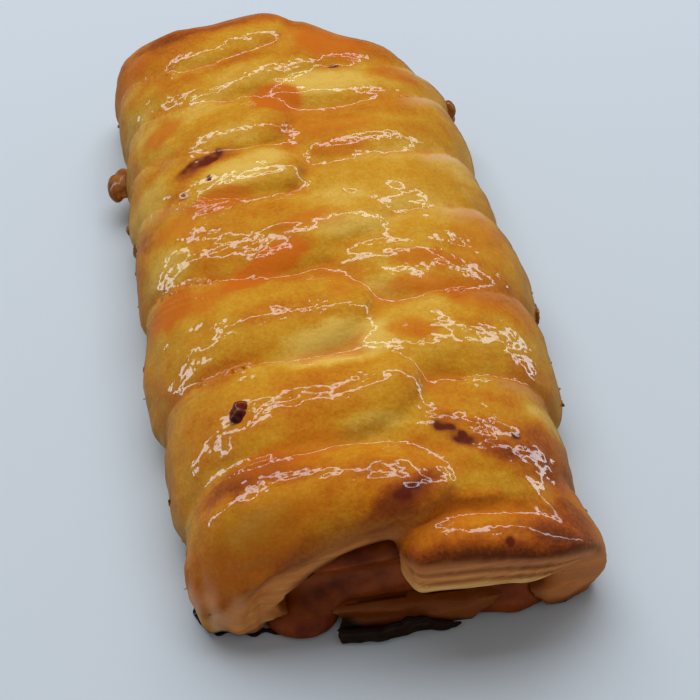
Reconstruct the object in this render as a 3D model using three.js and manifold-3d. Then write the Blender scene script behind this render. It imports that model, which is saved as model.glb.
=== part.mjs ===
// Apple pastry braid: a bottom sheet of puff pastry carries a loaf of cooked apple, and eight cut
// strips from each long side are folded over it so that their ends lie between one another.
// Millimetres, +Z up. The braid lies along Y with its open end towards -Y, and stands on Z = 0.
// "Along" is measured from the open end, "across" from the middle of the braid, +X to the right.
import * as THREE from 'three';
import { mergeVertices } from 'three/addons/utils/BufferGeometryUtils.js';
import Module from 'manifold-3d';

const wasm = await Module();
wasm.setup();

// The loaf
const originAlong = 75.4;     // where the middle of the finished braid lies along it
const originAcross = -1.1;    // and how far the middle of its outline lies from the plait's
const sidewaysLean = -0.065;  // the braid lies slightly askew: mm across for each mm along
const wallFoot = 7;           // the walls are upright here
const rootHeight = 2.6;       // and tuck in below, down to where the strips leave the sheet
const rootInset = 1.6;
const shoulderPower = 2.7;    // 2 is a round shoulder, more is squarer
const sunkShare = 0.3;        // the loaf has sunk by this share of its height at the shut corner
const sunkAcross = [8, -34];  // and by less and less over these stretches
const sunkAlong = [11, -2];

// The strips
const stripThickness = 10;
const stripOverlap = 2.8;     // how far each strip runs under its neighbours' cut edges
const stripRingPower = 2.1;
const cutFacePower = 6;       // the two strips at the open end keep flat cut faces
const arcSteps = 28;          // points on the arch that the strips follow
const stripStations = 13;     // rings along a strip, drawn together towards its free end
const stationPower = 1.15;
const stripRingPoints = 12;
const bluntTip = 0.25;        // and the share of its width that is left there
const shoulderAcross = 22;    // the cuts are given at the side wall and here
const sideAcross = 37;

// For each side, seen from the open end: where the cuts between the strips lie along the wall and
// on the shoulder, how far out each strip bulges, and for its free end the place along, the place
// across (past the middle when negative), half its width, how much higher it lies, and the length
// over which it rounds off
const leftStrips = {
  side: -1,
  wallCuts: [2.8, 17.5, 42, 71, 95.5, 112, 126.5, 143, 154],
  shoulderCuts: [3.4, 19, 40.8, 64, 89.5, 103.5, 122, 135, 151],
  bulge: [39, 40.6, 42, 41.6, 41, 40.8, 40.6, 40.4],
  crown: [32.6, 32.6, 32.4, 32.2, 32, 31.8, 31.4, 31.6],
  endAlong: [11.5, 33, 54.5, 79.5, 97, 115, 135.5, 149.4],
  endAcross: [-15, -13.5, -8.5, -18.5, -2, -4, -13, -9],
  endHalf: [8.5, 8.5, 8.5, 7.5, 8, 9, 7, 8],
  endLift: [0.4, 0.8, 0.6, 0.6, 0.4, 0.4, 0.4, 0],
  openThickness: 12,
  tipRounding: [7, 7, 7, 7, 7, 7, 7, 7],
};
const rightStrips = {
  side: 1,
  wallCuts: [0.8, 14.5, 35.5, 59.5, 84, 103, 124, 135, 138],
  shoulderCuts: [-3.6, 9, 35, 55.5, 79, 98, 117.5, 131, 142],
  bulge: [41.4, 40.6, 44, 45.4, 43.8, 43.2, 42, 38.6],
  crown: [26.6, 31.2, 32, 32.2, 32, 31.8, 31.4, 31.4],
  endAlong: [2.6, 24.5, 46, 68, 90.5, 105.5, 125.5, 148],
  endAcross: [-4.4, 0, 0, -2, -5, -6, -11, -5],
  endHalf: [8.4, 11, 11, 11.5, 10, 9.5, 9, 11],
  endLift: [-1.1, -1.4, -1, -1, -1, -1, -1, -0.8],
  openThickness: 11.8,
  tipRounding: [3.5, 7, 7, 7, 7, 7, 7, 7],
};

// The bottom sheet and the dough under the strips' undersides. Both ends of the sheet bend in
// plan: [from, to, how far] across, and the far end slants away on the right besides.
const sheetHalfWidth = 38.6;
const sheetTop = 7;
const nearAlong = -0.2;
const nearBends = [[-25, -11, -3.6], [12, 24, 0.9]];
const farAlong = 153.6;
const farBends = [[-10, 4, -1.1]];
const farSlant = 0.62;
const farSlantPower = 0.9;
const bodyRingPoints = 18;
const endCorner = 5;          // long bodies narrow over this length at their ends
const endNarrowing = 0.14;    // by this share of their width
const footShare = 0.35;       // how much of a body's lower half is left above its flat foot
const coreInset = 1.5;        // the core stands in from the sheet's edges
const coreFoot = 1;
const coreTop = 29;
const cornerEnd = -18;        // the shut corner on the left ends here
const cornerFade = [-4, 2];   // over this stretch to either side of that
const coreNearAlong = 5.5;    // its end stands back from the strips over the open mouth
const coreNearLeft = -1.6;    // but closes the corner on the left
const coreFarInset = 4.5;

// The cooked apple
const fillingHalfWidth = 27;
const fillingAcross = 1.5;
const fillingFoot = 5.6;
const fillingTop = 20.5;
const fillingPlay = 0.3;      // play between the apple and the dough round it
const endPlayShare = 4;       // there is more of it at both ends
const fillingNearAlong = 1.2;
const fillingNearLeft = 7.5;  // the apple stays behind the shut corner
const fillingFarInset = 1.8;
const mouthReach = 9;         // how far the openings are cut past both ends
const mouthDepth = 2;         // and how far behind the core's ends they reach
const mouthAcross = -3;       // the open mouth lies under the first left strip, whose cut edge
const mouthHalfWidth = 20;    // climbs evenly from the shut corner
const mouthTop = 22.5;
const mouthPower = 1.5;
const farPower = 2.3;
const lumpSides = 14;
const lumpRows = 9;

// Where the apple has run out over the sheet's edge: across, along, height, half sizes
const oozes = [
  [-18.4, 0.7, 0.5, [8, 5.4, 6.6]],
  [22.4, -0.9, 0.5, [5.4, 3.8, 6.6]],
];

// The scorched juice that set hard on the tray in front of the open end
const scorch = {
  from: -12.4,
  to: 11.4,
  along: -4.6,
  thickness: 1.5,
  height: 4,
  lowFrom: 0.6,               // from this share of its length on it gets lower
  lowHeight: 2.1,
  bow: 0.6,
  ripple: 0.5,
  rippleTurn: 7,              // radians of ripple over its length
  frontLean: 0.6,             // its top edges, as shares of half its thickness
  backLean: 0.9,
  stations: 12,
};

// Beads of juice that leaked out between the strips: across, along, height, half sizes
const leaks = {
  leaked_juice_left: [-42, 120.5, 7.5, [3, 4.6, 3]],
  leaked_juice_right: [41.4, 133.5, 9.5, [2.8, 3.2, 2.6]],
};

const finishes = {
  pastry: { color: '#c48a35', roughness: 0.28, metalness: 0 },
  apple_filling: { color: '#6a2c12', roughness: 0.3, metalness: 0 },
  scorched_juice: { color: '#15100f', roughness: 0.35, metalness: 0 },
  leaked_juice: { color: '#a5622a', roughness: 0.3, metalness: 0 },
};

// A signed power keeps a rounded-square curve on the right side of its axes
function signedPower(value, power) {
  return Math.sign(value) * Math.abs(value) ** power;
}

function clamp01(value) {
  return Math.min(1, Math.max(0, value));
}

function smooth(from, to, value) {
  const share = clamp01((value - from) / (to - from));
  return share * share * (3 - 2 * share);
}

// From the loaf's own measures to the finished part's frame
function place(across, along, height) {
  const y = along - originAlong;
  const sunk = sunkShare * smooth(...sunkAcross, across) * smooth(...sunkAlong, along);
  return new THREE.Vector3(across + sidewaysLean * y - originAcross, y, height * (1 - sunk));
}

// A closed skin through rings of equally many points, with a fan on each end
function loft(rings) {
  const count = rings[0].length;
  const positions = rings.flat().flatMap((p) => [p.x, p.y, p.z]);
  const index = [];
  for (let r = 0; r < rings.length - 1; r += 1) {
    for (let k = 0; k < count; k += 1) {
      const next = (k + 1) % count;
      const a = r * count + k;
      const b = r * count + next;
      index.push(a, b, b + count, a, b + count, a + count);
    }
  }
  for (const [r, turn] of [[0, 1], [rings.length - 1, -1]]) {
    const middle = new THREE.Vector3();
    rings[r].forEach((p) => middle.addScaledVector(p, 1 / count));
    const hub = positions.length / 3;
    positions.push(middle.x, middle.y, middle.z);
    for (let k = 0; k < count; k += 1) {
      const a = r * count + k;
      const b = r * count + ((k + 1) % count);
      index.push(...(turn > 0 ? [hub, b, a] : [hub, a, b]));
    }
  }
  const geometry = new THREE.BufferGeometry();
  geometry.setAttribute('position', new THREE.Float32BufferAttribute(positions, 3));
  geometry.setIndex(index);
  return geometry;
}

// A geometry whose shared corners are merged, turned into a solid with its faces pointing out
function toSolid(geometry) {
  geometry.deleteAttribute('normal');
  geometry.deleteAttribute('uv');
  const merged = mergeVertices(geometry, 1e-4);
  const make = (triVerts) => new wasm.Manifold(new wasm.Mesh({
    numProp: 3,
    vertProperties: new Float32Array(merged.attributes.position.array),
    triVerts,
  }));
  const triangles = Uint32Array.from(merged.index.array);
  const solid = make(triangles);
  if (solid.volume() > 0) return solid;
  return make(triangles.reverse());
}

// The largest shell alone, so that no loose scrap or sealed pocket is left after joining
function wholePiece(solid) {
  return solid.decompose().reduce((best, one) => (one.volume() > best.volume() ? one : best));
}

function toGeometry(solid) {
  const mesh = solid.getMesh();
  const geometry = new THREE.BufferGeometry();
  geometry.setAttribute('position', new THREE.BufferAttribute(mesh.vertProperties, 3));
  geometry.setIndex(new THREE.BufferAttribute(mesh.triVerts, 1));
  geometry.computeVertexNormals();
  return geometry;
}

// A value given at the side wall, on the shoulder and at the free end, blended smoothly between
function alongStrip(outward, strip, wall, shoulder, end) {
  const upper = smooth(sideAcross, shoulderAcross, outward);
  const inner = smooth(shoulderAcross, strip.endAcross, outward);
  return THREE.MathUtils.lerp(THREE.MathUtils.lerp(wall, shoulder, upper), end, inner);
}

// One strip's own row out of its side's lists
function stripOf(group, i) {
  const middle = (cuts) => (cuts[i] + cuts[i + 1]) / 2;
  const half = (cuts) => (cuts[i + 1] - cuts[i]) / 2 + stripOverlap;
  return {
    side: group.side,
    wallAlong: middle(group.wallCuts),
    wallHalf: half(group.wallCuts),
    shoulderAlong: middle(group.shoulderCuts),
    shoulderHalf: half(group.shoulderCuts),
    bulge: group.bulge[i],
    thickness: i === 0 ? group.openThickness : stripThickness,
    crown: group.crown[i],
    endAlong: group.endAlong[i],
    endAcross: group.endAcross[i],
    endHalf: group.endHalf[i],
    endLift: group.endLift[i],
    tipRounding: group.tipRounding[i],
    nearPower: i === 0 ? cutFacePower : stripRingPower,
  };
}

// The middle line of a strip: up the wall, round the shoulder and over to its free end
function stripPath(strip) {
  const halfWidth = strip.bulge - strip.thickness / 2;
  const height = strip.crown - wallFoot - strip.thickness / 2;
  const root = new THREE.Vector3(
    strip.side * (halfWidth - rootInset), strip.wallAlong, rootHeight);
  const points = [root];
  for (let i = 0; i <= arcSteps; i += 1) {
    const angle = (i / arcSteps) * Math.PI;
    const outward = halfWidth * signedPower(Math.cos(angle), 2 / shoulderPower);
    if (outward < strip.endAcross) break;
    const rise = height * Math.abs(Math.sin(angle)) ** (2 / shoulderPower);
    const along = alongStrip(
      outward, strip, strip.wallAlong, strip.shoulderAlong, strip.endAlong);
    const lift = alongStrip(outward, strip, 0, 0, strip.endLift);
    points.push(new THREE.Vector3(strip.side * outward, along, wallFoot + rise + lift));
  }
  return new THREE.CatmullRomCurve3(points);
}

// A puffed strip: rounded-square rings across the path, shrinking to a round free end
function stripSolid(strip) {
  const path = stripPath(strip);
  const length = path.getLength();
  const rings = [];
  for (let i = 0; i <= stripStations; i += 1) {
    const share = 1 - (1 - i / stripStations) ** stationPower;
    const centre = path.getPointAt(share);
    const forward = path.getTangentAt(share);
    const outward = strip.side * centre.x;
    const half = alongStrip(
      outward, strip, strip.wallHalf, strip.shoulderHalf, strip.endHalf);
    const left = clamp01((1 - share) * length / strip.tipRounding);
    const round = Math.max(bluntTip, Math.sqrt(1 - (1 - left) ** 2));
    const width = new THREE.Vector3(0, 1, 0).addScaledVector(forward, -forward.y).normalize();
    const up = new THREE.Vector3().crossVectors(forward, width).multiplyScalar(-strip.side);
    const ring = [];
    for (let k = 0; k < stripRingPoints; k += 1) {
      const turn = (k / stripRingPoints) * 2 * Math.PI;
      const sideways = Math.cos(turn);
      const power = sideways < 0 ? strip.nearPower : stripRingPower;
      const u = half * round * signedPower(sideways, 2 / power);
      const v = (strip.thickness / 2) * Math.sqrt(round)
        * signedPower(Math.sin(turn), 2 / power);
      const p = centre.clone().addScaledVector(width, u).addScaledVector(up, v);
      ring.push(place(p.x, p.y, p.z));
    }
    rings.push(ring);
  }
  return toSolid(loft(rings));
}

// The ends of the braid in plan
function bent(along, bends, across) {
  return bends.reduce(
    (sum, [from, to, howFar]) => sum + howFar * smooth(from, to, across), along);
}

function nearEnd(across) {
  return bent(nearAlong, nearBends, across);
}

function farEnd(across) {
  return bent(farAlong, farBends, across) - farSlant * Math.max(0, across) ** farSlantPower;
}

// A long body whose cross-section is a rounded square, cut flat below and square at both ends
function longBody({ middle = 0, halfWidth, foot, top, nearAt, farAt, power, stations }) {
  const rings = [];
  for (let i = 0; i <= stations; i += 1) {
    const share = i / stations;
    const fromEnd = Math.min(share, 1 - share) * (farAt(0) - nearAt(0));
    const fall = clamp01(fromEnd / endCorner);
    const round = 1 - endNarrowing * (1 - Math.sqrt(1 - (1 - fall) ** 2));
    const ring = [];
    for (let k = 0; k < bodyRingPoints; k += 1) {
      const turn = (k / bodyRingPoints) * 2 * Math.PI;
      const across = middle + halfWidth * round * signedPower(Math.cos(turn), 2 / power);
      const rise = signedPower(Math.sin(turn), 2 / power);
      const level = Math.max(0, (rise + footShare) / (1 + footShare));
      const height = foot + (top - foot) * level;
      const along = THREE.MathUtils.lerp(nearAt(across), farAt(across), share);
      ring.push(place(across, along, height));
    }
    rings.push(ring);
  }
  return toSolid(loft(rings));
}

function sheetSolid() {
  return longBody({
    halfWidth: sheetHalfWidth,
    foot: 0,
    top: sheetTop,
    nearAt: nearEnd,
    farAt: farEnd,
    power: 3,
    stations: 24,
  });
}

// Nothing at the shut corner on the left, rising to one over the open mouth
function mouthShare(across) {
  return smooth(cornerEnd + cornerFade[0], cornerEnd + cornerFade[1], across);
}

function coreNearEnd(across) {
  return THREE.MathUtils.lerp(coreNearLeft, coreNearAlong, mouthShare(across));
}

function coreSolid() {
  return longBody({
    halfWidth: sheetHalfWidth - coreInset,
    foot: coreFoot,
    top: coreTop,
    nearAt: coreNearEnd,
    farAt: (across) => farEnd(across) - coreFarInset,
    power: shoulderPower,
    stations: 20,
  });
}

// A soft lump, given by its middle and its half sizes, and flat where it meets the ground
function lump(across, along, height, size) {
  const geometry = new THREE.SphereGeometry(1, lumpSides, lumpRows);
  const at = geometry.attributes.position;
  for (let i = 0; i < at.count; i += 1) {
    const p = place(
      across + at.getX(i) * size[0],
      along + at.getY(i) * size[1],
      Math.max(0, height + at.getZ(i) * size[2]),
    );
    at.setXYZ(i, p.x, p.y, p.z);
  }
  return toSolid(geometry);
}

// The apple fills the braid from end to end and has run out at the open end. Grown by some play
// it is also the space that is cut for it in the dough.
function fillingSolid(play) {
  const endPlay = endPlayShare * play;
  const body = longBody({
    middle: fillingAcross,
    halfWidth: fillingHalfWidth + play,
    foot: fillingFoot - play,
    top: fillingTop + play,
    nearAt: (across) => THREE.MathUtils.lerp(
      fillingNearLeft, fillingNearAlong, mouthShare(across)) - endPlay,
    farAt: (across) => farEnd(across) - fillingFarInset + endPlay,
    power: 2.6,
    stations: 16,
  });
  return oozes.reduce((solid, [across, along, height, size]) => (
    solid.add(lump(across, along, height, size.map((half) => half + play)))), body);
}

// The spaces through which the apple shows, at the open end and the far end
function mouthSolids() {
  const near = longBody({
    middle: mouthAcross,
    halfWidth: mouthHalfWidth,
    foot: fillingFoot - fillingPlay,
    top: mouthTop,
    power: mouthPower,
    stations: 4,
    nearAt: () => -mouthReach,
    farAt: () => coreNearAlong + mouthDepth,
  });
  const far = longBody({
    middle: fillingAcross,
    halfWidth: fillingHalfWidth,
    foot: fillingFoot - fillingPlay,
    top: fillingTop + fillingPlay,
    power: farPower,
    stations: 4,
    nearAt: (across) => farEnd(across) - coreFarInset - mouthDepth,
    farAt: (across) => farEnd(across) + mouthReach,
  });
  return near.add(far);
}

// A crumpled black strip that stands against the front of the bottom sheet
function scorchSolid(play) {
  const rings = [];
  for (let i = 0; i <= scorch.stations; i += 1) {
    const share = i / scorch.stations;
    const across = THREE.MathUtils.lerp(scorch.from, scorch.to, share);
    const along = scorch.along
      - scorch.ripple * Math.sin(share * scorch.rippleTurn)
      - scorch.bow * Math.sin(share * Math.PI);
    const low = smooth(scorch.lowFrom, 1, share);
    const height = THREE.MathUtils.lerp(scorch.height, scorch.lowHeight, low) + play;
    const half = scorch.thickness / 2 + play;
    const corners = [
      [-half, 0],
      [half, 0],
      [half * scorch.backLean, height],
      [-half * scorch.frontLean, height],
    ];
    rings.push(corners.map(([y, z]) => place(across, along + y, z)));
  }
  return toSolid(loft(rings));
}

// All dough is one piece: the sheet, what lies under the strips, and the strips themselves. The
// first right strip lies across the mouth, so it comes after the mouth is cut.
function doughSolid() {
  let dough = sheetSolid().add(coreSolid());
  for (const group of [leftStrips, rightStrips]) {
    for (let i = group === rightStrips ? 1 : 0; i < group.bulge.length; i += 1) {
      dough = dough.add(stripSolid(stripOf(group, i)));
    }
  }
  return dough.subtract(mouthSolids()).add(stripSolid(stripOf(rightStrips, 0)));
}

function makeMesh(name, solid, finish) {
  const mesh = new THREE.Mesh(toGeometry(solid), new THREE.MeshStandardMaterial(finish));
  mesh.name = name;
  return mesh;
}

const braid = new THREE.Group();
let dough = doughSolid()
  .subtract(fillingSolid(fillingPlay))
  .subtract(scorchSolid(fillingPlay));
for (const [name, [across, along, height, size]] of Object.entries(leaks)) {
  const grown = size.map((half) => half + fillingPlay);
  dough = dough.subtract(lump(across, along, height, grown));
  braid.add(makeMesh(name, lump(across, along, height, size), finishes.leaked_juice));
}
const filling = fillingSolid(0).subtract(scorchSolid(fillingPlay));
braid.add(makeMesh('pastry', wholePiece(dough), finishes.pastry));
braid.add(makeMesh('apple_filling', filling, finishes.apple_filling));
braid.add(makeMesh('scorched_juice', scorchSolid(0), finishes.scorched_juice));

export default braid;
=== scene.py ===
import math

import bmesh
import bpy
import numpy as np
from mathutils import Matrix, Vector
from mathutils.kdtree import KDTree


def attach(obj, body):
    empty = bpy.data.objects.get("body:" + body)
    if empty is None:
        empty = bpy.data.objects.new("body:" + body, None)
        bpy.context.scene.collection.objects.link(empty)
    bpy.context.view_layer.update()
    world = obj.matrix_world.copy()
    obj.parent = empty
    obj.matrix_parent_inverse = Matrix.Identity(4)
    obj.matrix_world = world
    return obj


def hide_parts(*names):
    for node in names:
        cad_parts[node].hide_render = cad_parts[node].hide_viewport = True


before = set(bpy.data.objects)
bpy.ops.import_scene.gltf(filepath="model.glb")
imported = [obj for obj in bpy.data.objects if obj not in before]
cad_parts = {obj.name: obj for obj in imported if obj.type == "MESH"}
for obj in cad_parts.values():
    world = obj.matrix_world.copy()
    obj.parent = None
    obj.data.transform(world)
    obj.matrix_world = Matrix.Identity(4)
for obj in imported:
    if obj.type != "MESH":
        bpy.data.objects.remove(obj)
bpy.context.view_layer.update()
mm = 0.001

# The photo's camera, worked out from the outline of the braid
photoCamera = {
    "place": (-19.08, -210.52, 243.28),   # mm
    "looksAt": (4.27, -20.4, 15.0),
    "roll": -0.7,                         # degrees
    "lens": 72.0,                         # on a 36 mm sensor
}


def makeCamera(settings):
    place = Vector(settings["place"])
    back = (place - Vector(settings["looksAt"])).normalized()
    right = Vector((0, 0, 1)).cross(back).normalized()
    up = back.cross(right)
    roll = math.radians(settings["roll"])
    turnedRight = right * math.cos(roll) + up * math.sin(roll)
    turnedUp = up * math.cos(roll) - right * math.sin(roll)
    data = bpy.data.cameras.new("photoCamera")
    data.lens = settings["lens"]
    data.sensor_width = 36
    data.clip_start = 0.01
    camera = bpy.data.objects.new("photoCamera", data)
    turned = Matrix((turnedRight, turnedUp, back)).transposed().to_4x4()
    camera.matrix_world = Matrix.Translation(place * mm) @ turned
    bpy.context.scene.collection.objects.link(camera)
    bpy.context.scene.camera = camera


makeCamera(photoCamera)
bpy.context.scene.view_settings.view_transform = "Standard"

# The braid's own measures in mm, as the solids have them: "along" is counted from the open end,
# "across" from the middle to the right, and both sides' strips are listed from the open end
braid = {
    "originAlong": 75.4, "originAcross": -1.1, "lean": -0.065,
    "wallFoot": 7.0, "rootHeight": 2.6, "rootInset": 1.6, "shoulderPower": 2.7,
    "stripThickness": 10.0, "stripOverlap": 2.8, "ringPower": 2.1, "cutFacePower": 6.0,
    "arcSteps": 28, "shoulderAcross": 22.0, "sideAcross": 37.0,
    "sheetHalfWidth": 38.6, "sheetTop": 7.0, "sheetPower": 3, "endCorner": 5.0,
    "endNarrowing": 0.14, "footShare": 0.35, "nearAlong": -0.2,
    "nearBends": [(-25, -11, -3.6), (12, 24, 0.9)],
    "farAlong": 153.6, "farBends": [(-10, 4, -1.1)], "farSlant": 0.62, "farSlantPower": 0.9,
    "coreInset": 1.5, "coreFoot": 1.0, "coreTop": 29.0, "cornerEnd": -18.0,
    "cornerFade": (-4, 2), "coreNearAlong": 5.5, "coreNearLeft": -1.6, "coreFarInset": 4.5,
    "sunkShare": 0.3, "sunkAcross": (8, -34), "sunkAlong": (11, -2),
}
leftStrips = {
    "side": -1,
    "wallCuts": [2.8, 17.5, 42, 71, 95.5, 112, 126.5, 143, 154],
    "shoulderCuts": [3.4, 19, 40.8, 64, 89.5, 103.5, 122, 135, 151],
    "bulge": [39, 40.6, 42, 41.6, 41, 40.8, 40.6, 40.4],
    "crest": [32.6, 32.6, 32.4, 32.2, 32, 31.8, 31.4, 31.6],
    "endAlong": [11.5, 33, 54.5, 79.5, 97, 115, 135.5, 149.4],
    "endAcross": [-15, -13.5, -8.5, -18.5, -2, -4, -13, -9],
    "endHalf": [8.5, 8.5, 8.5, 7.5, 8, 9, 7, 8],
    "endLift": [-0.9, 0.5, 0.4, 0.3, 0.2, 0.2, 0.2, -0.2],
    "tipRounding": [14, 8, 9, 9, 7, 9, 7, 8],
    "openThickness": 12,
}
rightStrips = {
    "side": 1,
    "wallCuts": [0.8, 14.5, 35.5, 59.5, 84, 103, 124, 135, 138],
    "shoulderCuts": [-3.6, 9, 35, 55.5, 79, 98, 117.5, 131, 142],
    "bulge": [41.4, 40.6, 44, 45.4, 43.8, 43.2, 42, 38.6],
    "crest": [26.6, 31.2, 32, 32.2, 32, 31.8, 31.4, 31.4],
    "endAlong": [2.6, 24.5, 46, 68, 90.5, 105.5, 125.5, 148],
    "endAcross": [-4.4, 0, 0, -2, -5, -6, -11, -5],
    "endHalf": [8.4, 11, 11, 11.5, 10, 9.5, 9, 11],
    "endLift": [-1.1, -1.4, -1, -1, -1, -1, -1, -0.8],
    "tipRounding": [3.5, 7, 7, 7, 7, 7, 7, 7],
    "openThickness": 11.8,
}
apple = {
    "halfWidth": 27.0, "across": 1.5, "foot": 5.6, "top": 20.5, "play": 0.3, "endPlayShare": 4,
    "nearAlong": 1.2, "nearLeft": 7.5, "farInset": 1.8, "power": 2.6,
    "mouthReach": 9.0, "mouthDepth": 2.0, "mouthAcross": -3.0, "mouthHalfWidth": 20.0,
    "mouthTop": 22.5, "mouthPower": 1.5, "farPower": 2.3,
    "oozes": [((-18.4, 0.7, 0.5), (8.0, 5.4, 6.6)), ((22.4, -0.9, 0.5), (5.4, 3.8, 6.6)),
              ((16.6, -1.4, 0.3), (3.8, 2.5, 4.4)), ((27.4, -1.0, 0.3), (3.2, 2.4, 3.8))],
}


# A quarter circle's height above its chord, from 0 to 1
def rounding(share):
    return np.sqrt(1 - (1 - share) ** 2)


def signedPower(value, power):
    return np.sign(value) * np.abs(value) ** power


def smooth(start, stop, value):
    share = np.clip((value - start) / (stop - start), 0, 1)
    return share * share * (3 - 2 * share)


def mix(a, b, share):
    return a + (b - a) * share


# Where things begin and where they are whole: measures in mm, a strip's own u (near side -1,
# far side 1) and v (inner side -1, outer side 1), or the share of a normal
zones = {
    # how the strips lean: height, height, across, across
    "leanFoot": (15, 8), "leanShoulder": (12, 19), "leanAside": (12, 24), "leanTop": (22, 10),
    # the flat cut faces: a strip's u, its v, across, across, v, height
    "cutSide": (-0.72, -0.9), "cutSideFlat": (-0.4, -0.7), "cutInner": (0.25, -0.2),
    "cutLeft": (3, -2), "cutFlat": (30, 22), "cutBelowTop": (0.85, 0.6), "cutAboveFoot": (2.5, 5),
    # the outer end under the first right strip: across, along, normal, height, height
    "outerAcross": (25, 30), "outerAlong": (6, 2), "outerFacing": (-0.1, -0.45),
    "outerBelow": (15.5, 12.5), "outerAbove": (1.5, 3.5),
    # the soaked dough round the mouth, and its lip: mm behind the front, height, across
    "mouthRim": (1.4, 1.12), "soakedFrom": (0.6, 2.2), "soakedTo": (16, 12), "lipBelow": (9.5, 8),
    "lipTo": (12, 8), "lipLeft": (-24.5, -21.5), "lipRight": (41, 35),
    # what fills the creases: behind the front, height, across; and the filled valley
    "fillFrom": (1.0, 6.0), "fillAbove": (5, 11), "fillLessAcross": (30, 37), "valley": (1, 0.5),
    # the relief: how far a slope leans, how full a crease is, height
    "steep": (0.75, 0.35), "glazed": (0.15, 0.9), "crestAbove": (14, 20),
    # the raised far edges: u, v, how full, across
    "edgeFar": (0.45, 0.9), "edgeOuter": (0, 0.35), "edgeUnfilled": (0.6, 0.1),
    "edgeAcross": (14, 25),
    # the rougher places, and the puckered corner: across, along, height
    "roughPlaces": (-0.25, 0.4), "roughEnd": (26, 12), "cornerAcross": (-22, -29),
    "cornerAlong": (10, 6), "cornerBelow": (20, 13),
    # where flakes stick: across, height, height, a noise
    "flakyAcross": (35, 38), "flakyAbove": (1.2, 2.5), "flakyBelow": (15, 9),
    "flakyPlaces": (0, 0.45),
    # browning, painted shade at the open end and on the near slopes, and pooled glaze with painted
    # crease shade: height, along, normal, across
    "top": (6, 16), "nearShade": (26, -3), "farHeat": (120, 155), "nearSlope": (-0.2, -0.7),
    "sideHeat": (20, 40), "hollow": (0.04, 0.32), "pooledPlaces": (-0.5, 0.3),
    # burns, and the dry right and far walls
    "burntAbove": (12, 20), "rightHalf": (-10, 10), "dryFar": (80, 100), "dryFrom": (4, 22),
    # the rims, dry dough with a painted sheen: u, across, along; and the corner's pleats
    "rimFar": (0.48, 0.8), "rimAcross": (24, 31), "rimWhole": (62, 92), "rimFrom": (0, 14),
    "pleatPlaces": (-0.05, 0.5), "pleatAcross": (-23, -29), "pleatAlong": (12, 6),
    "pleatBelow": (21, 15),
    # dry walls, the painted shade of undersides and of the mouth's inside, and the foot, singed
    # and in painted shade
    "wallFar": (75, 105), "wallSteep": (0.55, 0.0), "insideUnder": (0.3, -0.2),
    "insideAbove": (1, 3), "insideAcross": (35, 29), "singedLeft": (0, -12), "singedNear": (20, 6),
}


def zone(name, value):
    return smooth(*zones[name], value)


# From the loaf's own measures in mm to metres in the frame. The loaf has sunk at its shut corner.
def placed(points):
    y = points[:, 1] - braid["originAlong"]
    x = points[:, 0] + braid["lean"] * y - braid["originAcross"]
    sunk = braid["sunkShare"] * smooth(*braid["sunkAcross"], points[:, 0])
    sunk *= smooth(*braid["sunkAlong"], points[:, 1])
    return np.stack([x, y, points[:, 2] * (1 - sunk)], 1) * mm


# Smooth random values between -1 and 1 on a lattice of the given spacing
hashing = {"primes": (73856093, 19349663, 83492791), "seed": 2654435, "stir": 1274126177,
           "shift": 17.31}


def noise(points, spacing, seed):
    p = points / np.asarray(spacing, float) + seed * hashing["shift"]
    cell = np.floor(p).astype(np.int64)
    f = p - cell
    f = f * f * f * (f * (f * 6 - 15) + 10)
    total = np.zeros(len(p))
    for corner in range(8):
        step = np.array([corner & 1, corner >> 1 & 1, corner >> 2 & 1])
        x, y, z = ((cell + step) * hashing["primes"]).T
        h = x ^ y ^ z ^ seed * hashing["seed"]
        h = (h ^ h >> 13) * hashing["stir"] & 0xffffffff
        h = (h ^ h >> 16) & 0xffff
        weight = np.prod(np.where(step, f, 1 - f), 1)
        total += weight * (h / 32767.5 - 1)
    return total


# Meshes from and to arrays
def meshOf(name, points, faces):
    mesh = bpy.data.meshes.new(name)
    mesh.from_pydata(points.tolist(), [], [list(face) for face in faces])
    mesh.update()
    return mesh


def objectOf(mesh, name):
    thing = bpy.data.objects.new(name, mesh)
    bpy.context.scene.collection.objects.link(thing)
    return thing


def pointsOf(mesh):
    flat = np.empty(len(mesh.vertices) * 3)
    mesh.vertices.foreach_get("co", flat)
    return flat.reshape(-1, 3)


def normalsOf(mesh):
    flat = np.empty(len(mesh.vertices) * 3, np.float32)
    mesh.vertex_normals.foreach_get("vector", flat)
    return flat.reshape(-1, 3).astype(float)


def movePoints(mesh, points):
    mesh.vertices.foreach_set("co", points.ravel())
    mesh.update()


def writeValues(mesh, name, values):
    attribute = mesh.attributes.get(name) or mesh.attributes.new(name, "FLOAT", "POINT")
    attribute.data.foreach_set("value", np.ascontiguousarray(values, np.float32))


def readValues(mesh, name):
    data = mesh.attributes[name].data
    values = np.empty(len(data), np.float32)
    data.foreach_get("value", values)
    return values.astype(float)


def keepAboveFloor(mesh, points, level=0):
    points[:, 2] = np.maximum(points[:, 2], level)
    movePoints(mesh, points)


def evaluated(thing):
    graph = bpy.context.evaluated_depsgraph_get()
    mesh = bpy.data.meshes.new_from_object(thing.evaluated_get(graph), depsgraph=graph)
    data = thing.data
    bpy.data.objects.remove(thing)
    bpy.data.meshes.remove(data)
    return mesh


def remeshed(mesh, voxel):
    thing = objectOf(mesh, "remeshing")
    remesh = thing.modifiers.new("remesh", "REMESH")
    remesh.mode = "VOXEL"
    remesh.voxel_size = voxel
    return evaluated(thing)


def cutBy(mesh, cutter):
    thing = objectOf(mesh, "cutting")
    tool = objectOf(cutter, "cutter")
    boolean = thing.modifiers.new("cut", "BOOLEAN")
    boolean.operation = "DIFFERENCE"
    boolean.solver = "MANIFOLD"
    boolean.object = tool
    result = evaluated(thing)
    bpy.data.objects.remove(tool)
    bpy.data.meshes.remove(cutter)
    return result


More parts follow.
